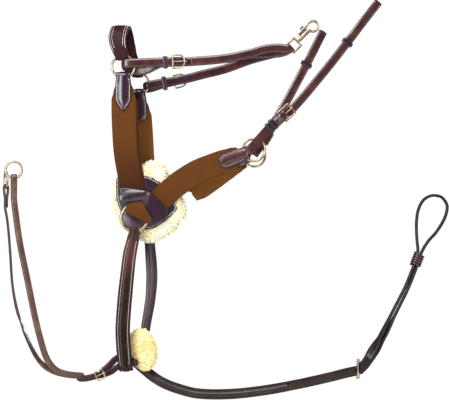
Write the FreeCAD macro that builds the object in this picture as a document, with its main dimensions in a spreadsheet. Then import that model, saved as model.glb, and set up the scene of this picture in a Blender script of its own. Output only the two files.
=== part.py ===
import FreeCAD, Part
import math
import os
from FreeCAD import Placement, Rotation, Vector

# Five-point elasticated breastplate, hung folded in half. Millimetres.
# +X points from the wither strap towards the girth loops, +Z is up and -Y is the near side.
# The origin is the inside of the wither strap's fold, where a rail or peg carries it.

os.makedirs("parts", exist_ok=True)
doc = FreeCAD.newDocument("breastplate")

SIZES = {
    "leather": 3.0,
    "padded": 7.0,
    "webbing": 3.0,
    "wither_width": 35.0,
    "elastic_width": 49.0,
    "tab_width": 32.0,
    "strap_width": 18.0,
    "rein_width": 13.0,
    "front_width": 29.0,
    "belly_width": 21.0,
    "ring_wire": 2.4,
    "ring_radius": 22.4,
    "chest_wire": 2.9,
    "chest_radius": 26.5,
    "rein_wire": 2.2,
    "rein_radius": 16.4,
    "frame_bar": 1.7,
    "prong": 1.15,
    "prong_shaft": 1.0,
    "running": 0.08,
    "hook_wire": 2.0,
    "hook_radius": 10.5,
    "keeper_wall": 1.6,
    "keeper_long": 9.0,
    "wrap_wire": 2.0,
    "fleece_depth": 26.0,
    "eye_wire": 1.8,
    "stud": 1.4,
    "stud_head": 2.3,
    "coil_long": 24.0,
    "pair_long": 16.0,
    "loop_leather": 4.4,
}

sheet = doc.addObject("Spreadsheet::Sheet", "Sizes")
for row, (alias, value) in enumerate(SIZES.items(), start=1):
    sheet.set(f"A{row}", alias)
    sheet.set(f"B{row}", str(value))
    sheet.setAlias(f"B{row}", alias)
doc.recompute()

X = Vector(1, 0, 0)
Y = Vector(0, 1, 0)
Z = Vector(0, 0, 1)
NODES = []


def bind(thing, **expressions):
    """Ties properties of an object to cells of the sheet."""
    for prop, expression in expressions.items():
        thing.setExpression(prop, expression)


def keep(thing, label):
    """Names an object as one piece of the breastplate."""
    thing.Label = label
    NODES.append(thing)
    return thing


def facing(x, y, z, angle, turn=0.0):
    """A frame whose X runs along a strap at an angle in the XZ plane and whose Z faces the near side.
    turn rolls it about the strap."""
    a = math.radians(angle)
    along = Vector(math.cos(a), 0, math.sin(a))
    across = Vector(-math.sin(a), 0, math.cos(a))
    rotation = Rotation(along, across, Vector(0, -1, 0), "XYZ")
    return Placement(Vector(x, y, z), rotation.multiply(Rotation(X, turn)))


def ribbon(label, stations, width, thick, across=None):
    """A flat band lofted through stations (x, y, z, share of the width, optional direction across)."""
    points = [Vector(s[0], s[1], s[2]) for s in stations]
    last = len(points) - 1
    sections = []
    for i, station in enumerate(stations):
        tangent = (points[min(i + 1, last)] - points[max(i - 1, 0)]).normalize()
        side = station[4] if len(station) > 4 else across
        if side is None:
            side = tangent.cross(Y)
        side = Vector(side)
        side = (side - tangent * side.dot(tangent)).normalize()
        up = tangent.cross(side)
        share = station[3]
        section = doc.addObject("Part::Plane", f"{label}_section")
        half = side * (SIZES[width] * share / 2) + up * (SIZES[thick] / 2)
        section.Placement = Placement(points[i] - half, Rotation(side, up, side.cross(up), "XYZ"))
        bind(section, Length=f"Sizes.{width} * {share}", Width=f"Sizes.{thick}")
        section.Visibility = False
        sections.append(section)
    band = doc.addObject("Part::Loft", label)
    band.Sections = sections
    band.Solid = True
    band.Ruled = True
    return keep(band, label)


def arc(centre, radius, start, end, across, steps=6, share=1.0, heading=X, slack=0.0):
    """Stations of a fold: a half turn in the plane of heading and the depth, about a wire.
    slack draws the turn out along heading, to clear a wire that curves."""
    depth = across.cross(heading).normalize()
    found = []
    for i in range(steps + 1):
        a = math.radians(start + (end - start) * i / steps)
        p = centre + heading * ((radius + slack) * math.cos(a)) + depth * (radius * math.sin(a))
        found.append((p.x, p.y, p.z, share, across))
    return found


def ring(label, centre, radius, wire, axis=Y):
    """A round wire ring."""
    torus = doc.addObject("Part::Torus", label)
    bind(torus, Radius1=f"Sizes.{radius}", Radius2=f"Sizes.{wire}")
    torus.Placement = Placement(Vector(*centre), Rotation(Z, axis))
    return keep(torus, label)


def fuse(label, shapes, frame=None):
    joined = doc.addObject("Part::MultiFuse", label)
    joined.Shapes = shapes
    if frame is not None:
        joined.Placement = frame
    return keep(joined, label)


def rod(name, start, end, radius):
    """A round rod between two points, with its radius from the sheet."""
    start, end = Vector(*start), Vector(*end)
    cylinder = doc.addObject("Part::Cylinder", name)
    cylinder.Height = (end - start).Length
    cylinder.Placement = Placement(start, Rotation(Z, end - start))
    bind(cylinder, Radius=radius)
    return cylinder


def ball(name, centre, radius):
    sphere = doc.addObject("Part::Sphere", name)
    sphere.Placement.Base = Vector(*centre)
    bind(sphere, Radius=radius)
    return sphere


def wire_frame(label, frame, half_long, half_wide, bar="frame_bar", extra=None):
    """A rectangular buckle frame of round bar in its own XY plane, with round corners."""
    corners = [(-half_long, -half_wide, 0), (half_long, -half_wide, 0),
               (half_long, half_wide, 0), (-half_long, half_wide, 0)]
    shapes = []
    for i, corner in enumerate(corners):
        shapes.append(rod(f"{label}_bar", corner, corners[(i + 1) % 4], f"Sizes.{bar}"))
        shapes.append(ball(f"{label}_corner", corner, f"Sizes.{bar}"))
    if extra:
        shapes += extra
    return fuse(label, shapes, frame)


def horseshoe_frame(label, frame, half_long, half_wide):
    """A buckle frame with a straight left bar and a half-round right end."""
    middle = half_long - half_wide
    corners = [(-half_long, -half_wide, 0), (-half_long, half_wide, 0)]
    shapes = [rod(f"{label}_bar", *corners, "Sizes.frame_bar")]
    for corner in corners:
        shapes.append(ball(f"{label}_corner", corner, "Sizes.frame_bar"))
        shapes.append(rod(f"{label}_side", corner, (middle, corner[1], 0), "Sizes.frame_bar"))
    bow = doc.addObject("Part::Torus", f"{label}_bow")
    bow.Radius1 = half_wide
    bind(bow, Radius2="Sizes.frame_bar")
    bow.Angle3 = 180
    bow.Placement = Placement(Vector(middle, 0, 0), Rotation(Z, -90))
    return fuse(label, shapes + [bow], frame)


def buckle(label, frame, half_long, half_wide, make_frame=wire_frame):
    """A buckle: its frame, and a prong that turns on the left bar."""
    make_frame(f"{label}_frame", frame, half_long, half_wide)
    reach = "Sizes.frame_bar + Sizes.prong + Sizes.running"
    lift = SIZES["frame_bar"] + SIZES["prong"] + SIZES["running"]
    eye = doc.addObject("Part::Torus", f"{label}_eye")
    bind(eye, Radius1=reach, Radius2="Sizes.prong")
    eye.Placement = Placement(Vector(-half_long, 0, 0), Rotation(Z, Y))
    tip = (half_long + 3.0, 0, lift)
    shaft = rod(f"{label}_shaft", (-half_long, 0, lift), tip, "Sizes.prong_shaft")
    point = ball(f"{label}_point", tip, "Sizes.prong_shaft")
    fuse(f"{label}_prong", [eye, shaft, point], frame)


def keeper(label, frame, half_wide, half_deep, long="keeper_long"):
    """A flat leather loop round the layers of a strap."""
    wall = SIZES["keeper_wall"]
    outer = doc.addObject("Part::Box", f"{label}_outer")
    bind(outer, Length=f"Sizes.{long}", Width=f"{2 * half_wide} + 2 * Sizes.keeper_wall",
         Height=f"{2 * half_deep} + 2 * Sizes.keeper_wall")
    outer.Placement.Base = Vector(-SIZES[long] / 2, -half_wide - wall, -half_deep - wall)
    inner = doc.addObject("Part::Box", f"{label}_inner")
    bind(inner, Length=f"Sizes.{long} + 4")
    inner.Width = 2 * half_wide
    inner.Height = 2 * half_deep
    inner.Placement.Base = Vector(-SIZES[long] / 2 - 2, -half_wide, -half_deep)
    band = doc.addObject("Part::Cut", label)
    band.Base = outer
    band.Tool = inner
    band.Placement = frame
    return keep(band, label)


def plate(label, outline, near, depth):
    """A flat piece cut to an outline of (x, z) points, from its near face backwards."""
    body = doc.addObject("PartDesign::Body", label)
    plane = [f for f in body.Origin.OriginFeatures if f.Role == "XZ_Plane"][0]
    sketch = body.newObject("Sketcher::SketchObject", f"{label}_outline")
    sketch.AttachmentSupport = [(plane, "")]
    sketch.MapMode = "FlatFace"
    for i, (x, z) in enumerate(outline):
        nx, nz = outline[(i + 1) % len(outline)]
        sketch.addGeometry(Part.LineSegment(Vector(x, z, 0), Vector(nx, nz, 0)))
    pad = body.newObject("PartDesign::Pad", f"{label}_pad")
    pad.Profile = sketch
    pad.Length = depth
    pad.Reversed = True
    if depth == SIZES["leather"]:
        bind(pad, Length="Sizes.leather")
    body.Tip = pad
    body.Placement.Base = Vector(0, near, 0)
    return keep(body, label)


# --- Wither strap, its rings, and the two neck elastics -------------------------------------

RING = SIZES["ring_radius"]
HOLD = SIZES["ring_wire"] + 0.5 + SIZES["leather"] / 2
CREST = 22 + SIZES["padded"] / 2

NEAR_WITHER = Vector(5, -30, -76)
FAR_WITHER = Vector(32, 28, -108)
NEAR_GIRTH = Vector(266, -30, -242)
FAR_GIRTH = Vector(267, 30, -252)

stations = [(-1, -30, -46, 0.66), (-3, -29, -30, 0.8), (-5, -26.5, -22, 0.95)]
for step in range(1, 7):
    a = math.radians(180 - 180 * step / 7)
    stations.append((-5 + 2 * step, CREST * math.cos(a), -22 + CREST * math.sin(a), 1.0))
stations += [(9, 26.5, -22, 1.0), (12, 28, -36, 0.95), (20, 28, -58, 0.85), (29, 28, -76, 0.7)]
crest = ribbon("wither_body", stations, "wither_width", "padded", X)
NODES.remove(crest)


def ring_fold(name, centre, top_end, width, share):
    """A strap end turned through the top of a ring, both layers rising to the padded part."""
    wire = centre + Z * RING
    rise = [(top_end.x, top_end.y - 4.2, top_end.z, share, X)]
    turn = [(wire.x, s[1], s[2], s[3], X) for s in arc(wire, HOLD, 90, 270, X, 6, share, Z, 4.4)]
    if turn[0][1] > turn[-1][1]:
        turn.reverse()
    fall = [(top_end.x, top_end.y + 4.2, top_end.z, share, X)]
    fold = ribbon(name, rise + turn + fall, width, "leather", X)
    NODES.remove(fold)
    return fold


near_fold = ring_fold("wither_near_fold", NEAR_WITHER, Vector(-1.5, -30, -40), "wither_width", 0.64)
far_fold = ring_fold("wither_far_fold", FAR_WITHER, Vector(27, 28, -70), "wither_width", 0.64)
fuse("wither_strap", [crest, near_fold, far_fold])

ring("wither_ring_near", NEAR_WITHER, "ring_radius", "ring_wire")
ring("wither_ring_far", FAR_WITHER, "ring_radius", "ring_wire")


def tab(label, centre, angle, long, tip):
    """A leather tab folded through a ring and stitched over the end of an elastic.
    angle points from the ring towards the elastic."""
    a = math.radians(angle)
    away = Vector(math.cos(a), 0, math.sin(a))
    across = Vector(-math.sin(a), 0, math.cos(a))
    wire = centre + away * RING
    lie = SIZES["webbing"] / 2 + 0.25 + SIZES["leather"] / 2
    near_leg = [(long, tip), (long - 7, 0.8), (long - 15, 1.0), (14, 0.95)]
    stations = []
    for reach, share in near_leg:
        p = wire + away * reach
        stations.append((p.x, p.y - lie, p.z, share, across))
    turn = arc(wire, HOLD, 90, 270, across, 6, 0.66, away, 3.4)
    if turn[0][1] > turn[-1][1]:
        turn.reverse()
    stations += turn
    for reach, share in reversed(near_leg):
        p = wire + away * reach
        stations.append((p.x, p.y + lie, p.z, share, across))
    return ribbon(label, stations, "tab_width", "leather")


tab("neck_tab_near", NEAR_WITHER, -90, 61, 0.15)
tab("neck_tab_far", FAR_WITHER, -86, 48, 0.45)

ribbon("neck_elastic_near", [
    (5, -30, -110, 0.62), (6, -30, -126, 0.82), (6, -30, -142, 1.0), (6, -30, -168, 1.0),
    (7, -28, -198, 1.0),
    (10, -25, -248, 0.98), (19, -20, -302, 0.96), (24, -18.5, -317, 0.94), (28, -18.5, -336, 0.9),
], "elastic_width", "webbing")

ribbon("neck_elastic_far", [
    (34, 28, -142, 0.62), (35, 28, -158, 0.82), (36, 28, -174, 1.0), (37.5, 28, -194, 1.0),
    (38.5, 27, -208, 1.0),
    (40, 23, -232, 1.0), (42, 19, -262, 1.0), (48, 16, -302, 0.96), (52, 16, -330, 0.9),
], "elastic_width", "webbing")

# --- Girth elastics, their rings and tabs ---------------------------------------------------

ribbon("girth_elastic_near", [
    (232, -30, -254, 0.7), (222, -30, -257, 0.8), (204, -30, -265, 0.94), (183, -30, -273, 0.96),
    (152, -27.5, -286, 0.98),
    (121, -24, -305, 0.98), (96, -20, -325, 0.98), (78, -18.5, -342, 0.95), (64, -18.5, -356, 0.9),
], "elastic_width", "webbing")

ribbon("girth_elastic_far", [
    (236, 30, -266, 0.6), (224, 30, -271.5, 0.75), (208, 30, -281, 0.94), (200, 30, -286.5, 0.95),
    (185, 28, -297, 0.98),
    (150, 24, -321, 0.98), (147, 23.5, -317, 0.5), (121, 21, -311, 0.5), (96, 17, -328, 0.5),
    (72, 16, -346, 0.5),
], "elastic_width", "webbing")

ring("girth_ring_near", NEAR_GIRTH, "ring_radius", "ring_wire")
ring("girth_ring_far", FAR_GIRTH, "ring_radius", "ring_wire")
tab("girth_tab_near", NEAR_GIRTH, 196, 48, 0.5)
tab("girth_tab_far", FAR_GIRTH, 204, 33, 0.5)

# --- Chest pad ------------------------------------------------------------------------------

PAD = [
    (-7, -296), (-10, -322), (-8, -344), (0, -366), (14, -384), (34, -396), (58, -400),
    (80, -390), (100, -374), (112, -360), (106, -346), (96, -330), (84, -312), (66, -300),
    (44, -292), (20, -290),
]
COVER = [
    (0, -318), (46, -322), (60, -327), (92, -361), (88, -381), (60, -395), (36, -394),
    (16, -382), (3, -364), (-4, -342),
]
FLEECE = [
    (-14, -300), (-20, -330), (-16, -362), (0, -392), (24, -414), (56, -428), (84, -420),
    (110, -402), (130, -374), (126, -346), (112, -320), (96, -292), (84, -268), (64, -262),
    (40, -272), (10, -284),
]

plate("chest_pad", PAD, -16, SIZES["leather"])
plate("pad_cover", COVER, -24, SIZES["leather"])
fleece = plate("chest_fleece", FLEECE, -12.5, SIZES["fleece_depth"])

ring("chest_ring", (27, -29, -378), "chest_radius", "chest_wire")
plate("ring_tongue", [
    (6, -352), (22, -346), (38, -344), (50, -362), (63, -382), (52, -391), (38, -393.5),
    (16, -393.5), (8, -376),
], -36, SIZES["leather"])

# --- Front strap, back strap, belly strap and its loop --------------------------------------

chest_low = Vector(27, -29, -378) - Z * SIZES["chest_radius"]
CHEST_HOLD = SIZES["chest_wire"] + 0.4 + SIZES["leather"] / 2
DOWN = [(25, -418, 0.85), (18, -450, 0.93), (14, -482, 0.95), (9, -530, 1.0), (6, -564, 1.0)]
LOW = [(5, -600, 1.0), (7, -636, 0.95), (10, -658, 0.87), (11.5, -676, 0.83)]


def hanging(places, y, spread=0.0):
    """Stations of one layer of the front strap; spread opens it towards the bottom."""
    found = []
    for n, (x, z, share) in enumerate(places):
        found.append((x, y + spread * n / len(places), z, share, X))
    return found


ring_turn = []
for s in arc(chest_low, CHEST_HOLD, 90, 270, X, 6, 0.72, -Z, 3.4):
    ring_turn.append((chest_low.x, *s[1:]))
if ring_turn[0][1] < ring_turn[-1][1]:
    ring_turn.reverse()
eye_turn = arc(Vector(12, -29, -676), 4.5, -90, 90, X, 6, 0.83, -Z)
if eye_turn[0][1] > eye_turn[-1][1]:
    eye_turn.reverse()
ribbon("front_strap", hanging(DOWN, -26)[::-1] + ring_turn + hanging(DOWN, -32) + hanging(LOW, -32.3, -1.8)
       + eye_turn[1:-1] + hanging(LOW, -25.7, 1.8)[::-1], "front_width", "leather", X)

ribbon("back_strap", [
    (56, 16, -396, 1.0), (57, 16, -430, 1.0), (60, 15, -470, 1.08), (61, 14, -500, 1.08),
    (58, 13, -542, 0.98), (50, 12, -590, 0.92), (45, 11, -625, 0.92), (44, 10, -650, 0.92),
    (44, 10, -672, 0.9),
], "belly_width", "leather")

ribbon("belly_strap", [
    (15, 13.5, -648, 0.95), (23, 13.5, -661, 0.97), (34, 13.3, -672, 1.0), (48, 13.3, -684, 1.0),
    (64, 12.4, -697, 1.0), (84, 9, -709, 1.0), (112, 7, -720, 1.0), (153, 4, -730, 1.0),
    (218, 2, -731, 1.0), (290, 0, -723, 0.98), (360, 0, -710, 0.95), (418, 0, -697, 0.95),
    (450, 0, -689, 0.95), (467.5, 0, -684.5, 0.9),
], "belly_width", "leather")

# The loop's two layers rise side by side: centre (x, z), twist from flat to edge-on, and the gap
# between the middles of the layers. Above the coil they part into a teardrop.
RISE = [
    (479, -683, 0, 8.8), (490, -669, 0, 8.8), (503, -649, 30, 8.4), (523, -616, 75, 7.4),
    (550, -562, 90, 6.8), (571.5, -519, 90, 6.2), (587, -481, 90, 5.8), (593.5, -462, 90, 5.6),
]
TEARDROP = [
    (594.6, -446), (592.4, -415), (592, -385), (596, -360), (606, -342), (619, -334), (630, -333),
    (643, -337), (653, -352), (652, -367), (645, -385), (631, -407), (615, -425), (603.4, -444),
]
layers = [[], []]
for n, (x, z, twist, gap) in enumerate(RISE):
    before, after = RISE[max(n - 1, 0)], RISE[min(n + 1, len(RISE) - 1)]
    heading = Vector(after[0] - before[0], 0, after[1] - before[1]).normalize()
    left = Vector(-heading.z, 0, heading.x)
    a = math.radians(twist)
    across = left * math.cos(a) + Y * math.sin(a)
    normal = left * math.sin(a) - Y * math.cos(a)
    for layer, sign in zip(layers, (1, -1)):
        p = Vector(x, 0, z) + normal * (sign * gap / 2)
        layer.append((p.x, p.y, p.z, 0.95, across))
drop = [(x, 0, z, 0.95, Y) for x, z in TEARDROP]
ribbon("belly_loop", layers[0] + drop + layers[1][::-1], "belly_width", "loop_leather")

keeper("coil_keeper", facing(593.5, 0, -462, 69.5), 6.4, 10.6, "coil_long")
plate("belly_fleece", [
    (27, -606), (40, -594), (56, -598), (67, -616), (73, -640), (70, -664), (58, -682),
    (42, -682), (30, -670), (24, -652), (23, -626),
], -10, 17)
upright = Placement(Vector(474, 0, -680), Rotation(Z, -Y, X, "XYZ"))
buckle("belly_buckle", upright, 17, 13)

# --- Saddle straps with their buckles and snap hooks ----------------------------------------

BAR_AWAY = 10.3
EYE_HOLD = SIZES["eye_wire"] + 0.5 + SIZES["leather"] / 2
SLANT = Vector(math.cos(math.pi / 4), 0, math.sin(math.pi / 4))
SLANT_ACROSS = Vector(-SLANT.z, 0, SLANT.x)


def saddle_strap(label, eye, front, ring_turn, back, gap):
    """A doubled strap: from its buckle to the ring, round it, out to the snap's eye and back.
    gap is how far the returning layer lies towards the near side."""
    bar = eye - SLANT * BAR_AWAY
    turn = arc(bar, EYE_HOLD, -90, 90, SLANT_ACROSS, 6, 0.9, SLANT)
    if (turn[0][1] - turn[-1][1]) * gap < 0:
        turn.reverse()
    returning = [(x, y - gap, z, 1.0) for x, y, z, _ in reversed(back[-5:])]
    stations = front + ring_turn + back + turn + returning
    flat = []
    for s in stations:
        flat.append(s if len(s) > 4 else (*s, Vector(-math.sin(0.1), 0, math.cos(0.1))))
    return ribbon(label, flat, "strap_width", "leather")


near_eye = Vector(345, -31, -33)
saddle_strap(
    "saddle_strap_near", near_eye,
    [(134, -34, -66, 1.0), (110, -34, -66, 1.0), (78, -34, -67, 1.0), (52, -36.5, -68, 1.0),
     (30, -38.5, -69, 1.0)],
    [(14, -38, -70, 1.0), (6, -35.5, -71, 0.9), (3.5, -30, -73, 0.85), (6, -24.5, -75, 0.9),
     (14, -22, -78, 1.0)],
    [(30, -21.5, -83, 1.0), (48, -24, -83, 1.0), (66, -27, -75, 1.0), (80, -28, -69, 1.0),
     (96, -28, -67.5, 1.0),
     (140, -28, -66, 1.0), (208, -28, -60, 1.0), (258, -28, -51, 1.0), (288, -28, -46, 1.0),
     (314, -28, -47, 1.0)],
    6,
)
far_eye = Vector(347, 29, -31)
saddle_strap(
    "saddle_strap_far", far_eye,
    [(134, 32, -97, 1.0), (110, 32, -102, 1.0), (84, 33, -108, 1.0), (62, 36, -115, 1.0)],
    [(52, 36.5, -118, 0.88), (46.5, 34.5, -116.5, 0.72), (44.8, 29.5, -114.5, 0.68),
     (46.5, 25, -112.5, 0.72), (52, 22.5, -111, 0.88)],
    [(60, 23, -110, 1.0), (84, 25, -106, 1.0), (110, 26, -102, 1.0),
     (138, 26, -96, 1.0), (160, 26, -90, 1.0), (208, 26, -78, 1.0), (258, 26, -60, 1.0),
     (314, 26, -45, 1.0)],
    -6,
)
keeper("saddle_keeper_near", facing(89, -31, -67.5, 3), 10.6, 5.3)
keeper("saddle_keeper_far", facing(86, 29, -107, 10), 12.0, 6.2)
buckle("saddle_buckle_near", facing(116, -40.2, -66, 2), 12, 13, horseshoe_frame)
buckle("saddle_buckle_far", facing(118, 38.4, -101, 13, 180), 12, 13, horseshoe_frame)


def snap(side, frame):
    """A bolt snap: a square swivel eye, a barrel that ends in a hook, and a sliding bolt."""
    stud = rod(f"snap_{side}_stud", (BAR_AWAY, 0, 0), (21.4, 0, 0), "Sizes.stud")
    head = rod(f"snap_{side}_head", (19.6, 0, 0), (21.4, 0, 0), "Sizes.stud_head")
    wire_frame(f"snap_eye_{side}", frame, BAR_AWAY, BAR_AWAY, "eye_wire", [stud, head])

    barrel = rod("barrel", (14.4, 0, 0), (44.5, 0, 0), "Sizes.stud * 2.7")
    channel = rod("channel", (22, 9, 0), (40, 9, 0), "Sizes.stud * 1.9")
    web = doc.addObject("Part::Box", "web")
    web.Length = 18
    web.Width = 6
    web.Height = 5
    web.Placement.Base = Vector(22, 3, -2.5)
    hook = doc.addObject("Part::Torus", "hook")
    bind(hook, Radius1="Sizes.hook_radius", Radius2="Sizes.hook_wire")
    hook.Angle3 = 280
    hook.Placement = Placement(Vector(54, 0, 0), Rotation(Z, 180))
    tip_angle = math.radians(100)
    reach = SIZES["hook_radius"]
    tip = ball("tip", (54 + reach * math.cos(tip_angle), reach * math.sin(tip_angle), 0), "Sizes.hook_wire")
    solid = doc.addObject("Part::MultiFuse", "snap_solid")
    solid.Shapes = [barrel, channel, web, hook, tip]

    bore = rod("bore", (14, 0, 0), (20, 0, 0), "Sizes.stud + Sizes.running")
    pocket = rod("pocket", (19.3, 0, 0), (21.9, 0, 0), "Sizes.stud_head + 0.3")
    guide = rod("guide", (21, 9, 0), (41, 9, 0), "Sizes.stud + Sizes.running")
    slot = doc.addObject("Part::Box", "slot")
    slot.Length = 13.5
    slot.Width = 6
    slot.Height = 3.4
    slot.Placement.Base = Vector(24.5, 9, -1.7)
    space = doc.addObject("Part::MultiFuse", "snap_space")
    space.Shapes = [bore, pocket, guide, slot]
    body = doc.addObject("Part::Cut", f"snap_hook_{side}")
    body.Base = solid
    body.Tool = space
    body.Placement = frame
    keep(body, f"snap_hook_{side}")

    pin = rod("bolt_pin", (27, 9, 0), (49.0, 9, 0), "Sizes.stud")
    lug = rod("bolt_lug", (36, 9, 0), (36, 14.0, 0), "Sizes.stud * 0.65")
    lever = doc.addObject("Part::Box", "bolt_lever")
    lever.Length = 9
    lever.Width = 1.6
    lever.Height = 4
    lever.Placement.Base = Vector(31.5, 13.2, -2)
    fuse(f"snap_bolt_{side}", [pin, lug, lever], frame)


snap("near", facing(near_eye.x, near_eye.y, near_eye.z, 45))
snap("far", facing(far_eye.x, far_eye.y, far_eye.z, 45))

# --- Side girth straps ----------------------------------------------------------------------


def side_direction(angle):
    a = math.radians(angle)
    return Vector(math.cos(a), 0, math.sin(a))


def chape(label, fold, angle, ends, y, spread):
    """A short strap folded round a ring, both layers running to the buckle."""
    away = side_direction(angle)
    across = Vector(-away.z, 0, away.x)
    turn = arc(fold, spread, 90, 270, across, 6, 0.95, away)
    if turn[0][1] > turn[-1][1]:
        turn.reverse()
    out = [(x, y - spread, z, 1.0) for x, z in reversed(ends)]
    home = [(x, y + spread, z, 1.0) for x, z in ends]
    return ribbon(label, out + turn + home, "strap_width", "leather")


def long_strap(label, path, y, gaps, width="strap_width"):
    """A doubled strap whose far end is an open loop, with both ends in the buckle.
    gaps holds each station's half distance between the layers."""
    step = Vector(path[-1][0] - path[-2][0], 0, path[-1][1] - path[-2][1]).normalize()
    across = Vector(-step.z, 0, step.x)
    out = []
    for (x, z), half in zip(path, gaps):
        out.append((x, y - half, z, 0.95, across))
    home = []
    for (x, z), half in zip(reversed(path), reversed(gaps)):
        home.append((x, y + half, z, 0.95, across))
    tip = Vector(path[-1][0], y, path[-1][1])
    turn = arc(tip + step * 4, gaps[-1], -90, 90, across, 6, 0.95, step)
    if turn[0][1] > turn[-1][1]:
        turn.reverse()
    return ribbon(label, out + turn + home, width, "leather")


chape("girth_chape_near", Vector(263.5, -31, -236.5), 48,
      [(268, -231), (284, -213), (302, -193), (320, -176)], -31, 5.6)
long_strap("girth_strap_near", [
    (303, -192), (322, -175), (344, -159), (411, -80), (451, -29), (462, -15), (480, 9), (508, 45),
], -31, [2, 2, 2, 2, 2, 2.4, 5, 5.5])
keeper("girth_keeper_near", facing(300, -31, -195, 47), 10.2, 7.6, "pair_long")
keeper("girth_runner_near", facing(452, -31, -28, 52), 9.9, 4.6)
buckle("girth_buckle_near", facing(331, -42.6, -168, 44), 13, 12)

chape("girth_chape_far", Vector(269.5, 29, -246), 56,
      [(275, -238), (285, -223), (296, -205), (307, -187)], 29, 5.6)
long_strap("girth_strap_far", [
    (297, -203), (306, -187), (332, -144), (354, -103), (376, -62), (383, -48), (392, -30), (401, -12),
], 29, [2, 2, 2, 2, 2, 2.4, 5, 5.5])
keeper("girth_keeper_far", facing(306, 29, -188.5, 60), 10.2, 7.6)
keeper("girth_runner_far", facing(372, 29, -69, 62), 9.9, 4.6)
buckle("girth_buckle_far", facing(290, 40.6, -215, 59, 180), 11.5, 10.9)

# --- Martingale: fork straps, rein rings and the connector ----------------------------------

NEAR_REIN = Vector(-213, -30, -282)
FAR_REIN = Vector(-233, 28, -301)
edge_axis = Vector(math.cos(math.radians(15)), math.sin(math.radians(15)), 0)
edge_across = Vector(-edge_axis.y, edge_axis.x, 0)
REIN_HOLD = SIZES["rein_wire"] + 0.5 + SIZES["leather"] / 2

ring("rein_ring_near", NEAR_REIN, "rein_radius", "rein_wire")
ring("rein_ring_far", FAR_REIN, "rein_radius", "rein_wire", edge_axis)


def rein_strap(label, centre, across, home, path):
    """A fork strap, folded up through its rein ring and stitched back on itself on the side of home."""
    wire = centre - Z * SIZES["rein_radius"]
    drops = [(40, 1.75), (22, 1.9), (9, REIN_HOLD - 0.5)]
    legs = [[], []]
    for drop, out in drops:
        for leg, sign in zip(legs, (1, -1)):
            p = wire - Z * drop + home * (sign * out)
            leg.append((p.x, p.y, p.z, 1.0, across))
    turn = arc(wire, REIN_HOLD, -90, 90, across, 6, 1.0, Z, 1.7)
    if (Vector(*turn[0][:3]) - wire).dot(home) < 0:
        turn.reverse()
    return ribbon(label, legs[0] + turn + legs[1][::-1] + path, "rein_width", "leather")


rein_strap("rein_strap_near", NEAR_REIN, X, -Y, [
    (-210.5, -29, -362, 1.0), (-201, -30, -428, 1.0), (-185, -30.5, -506, 1.0),
    (-169, -30.5, -584, 1.0), (-153, -30, -644, 1.0), (-143, -29.5, -666, 1.0), (-128, -29, -682, 1.0),
    (-103, -29, -690, 1.0), (-72, -29, -693, 1.0),
])
rein_strap("rein_strap_far", FAR_REIN, edge_across, edge_axis, [
    (-231, 26, -378, 1.0, edge_across), (-228, 24.5, -402, 1.0, edge_across),
    (-224, 21, -449, 1.0, edge_across), (-219, 15, -513, 1.0, edge_across),
    (-209, 8, -564, 1.0, Vector(-0.4, 0.9, 0)), (-190, -3, -615, 1.0, Vector(0.3, 0.9, 0.3)),
    (-166, -13, -660, 1.0, Vector(0.3, 0.8, 0.5)), (-143, -20, -680, 1.0, Vector(0, 0.5, 0.8)),
    (-110, -24.5, -690, 1.0, Z), (-72, -25, -693, 1.0, Z),
])

ribbon("connector", [
    (-88, -33, -700, 0.8), (-66, -33, -697, 1.0), (-46, -33, -692, 1.0), (-32, -32, -689, 1.0),
    (-19, -29.6, -684, 1.0), (-8, -29, -676, 0.95), (3, -29, -671.5, 0.95), (13, -29, -670, 0.95),
    (25, -28.5, -668, 0.9), (31, -26, -667, 0.9, Z),
    (33, -23, -667, 0.9, Z), (31, -20, -666, 0.9, Z), (25, -18, -664, 0.9), (12, -18, -659, 0.95),
    (-2, -18.5, -656, 1.0), (-12, -19.5, -661, 1.0), (-22, -21, -671, 1.0), (-32, -21.5, -680, 1.0),
    (-42, -21.5, -687, 1.0),
], "rein_width", "leather")
buckle("connector_buckle", facing(-41, -39.2, -690, 24), 8, 9)

# --- Checks and export ----------------------------------------------------------------------

doc.recompute()
for thing in doc.Objects:
    if "Invalid" in thing.State or "Error" in thing.State:
        raise RuntimeError(f"{thing.Name} didn't build: {thing.State}")
for node in NODES:
    shape = node.Shape
    if shape.isNull() or not shape.isValid():
        raise RuntimeError(f"{node.Label} has no valid shape")
for node in NODES:
    node.Shape.exportStep(f"parts/{node.Label}.step")
print(len(NODES), "pieces written")
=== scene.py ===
import math
import random

import bpy
import numpy as np
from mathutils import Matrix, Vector, noise


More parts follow.
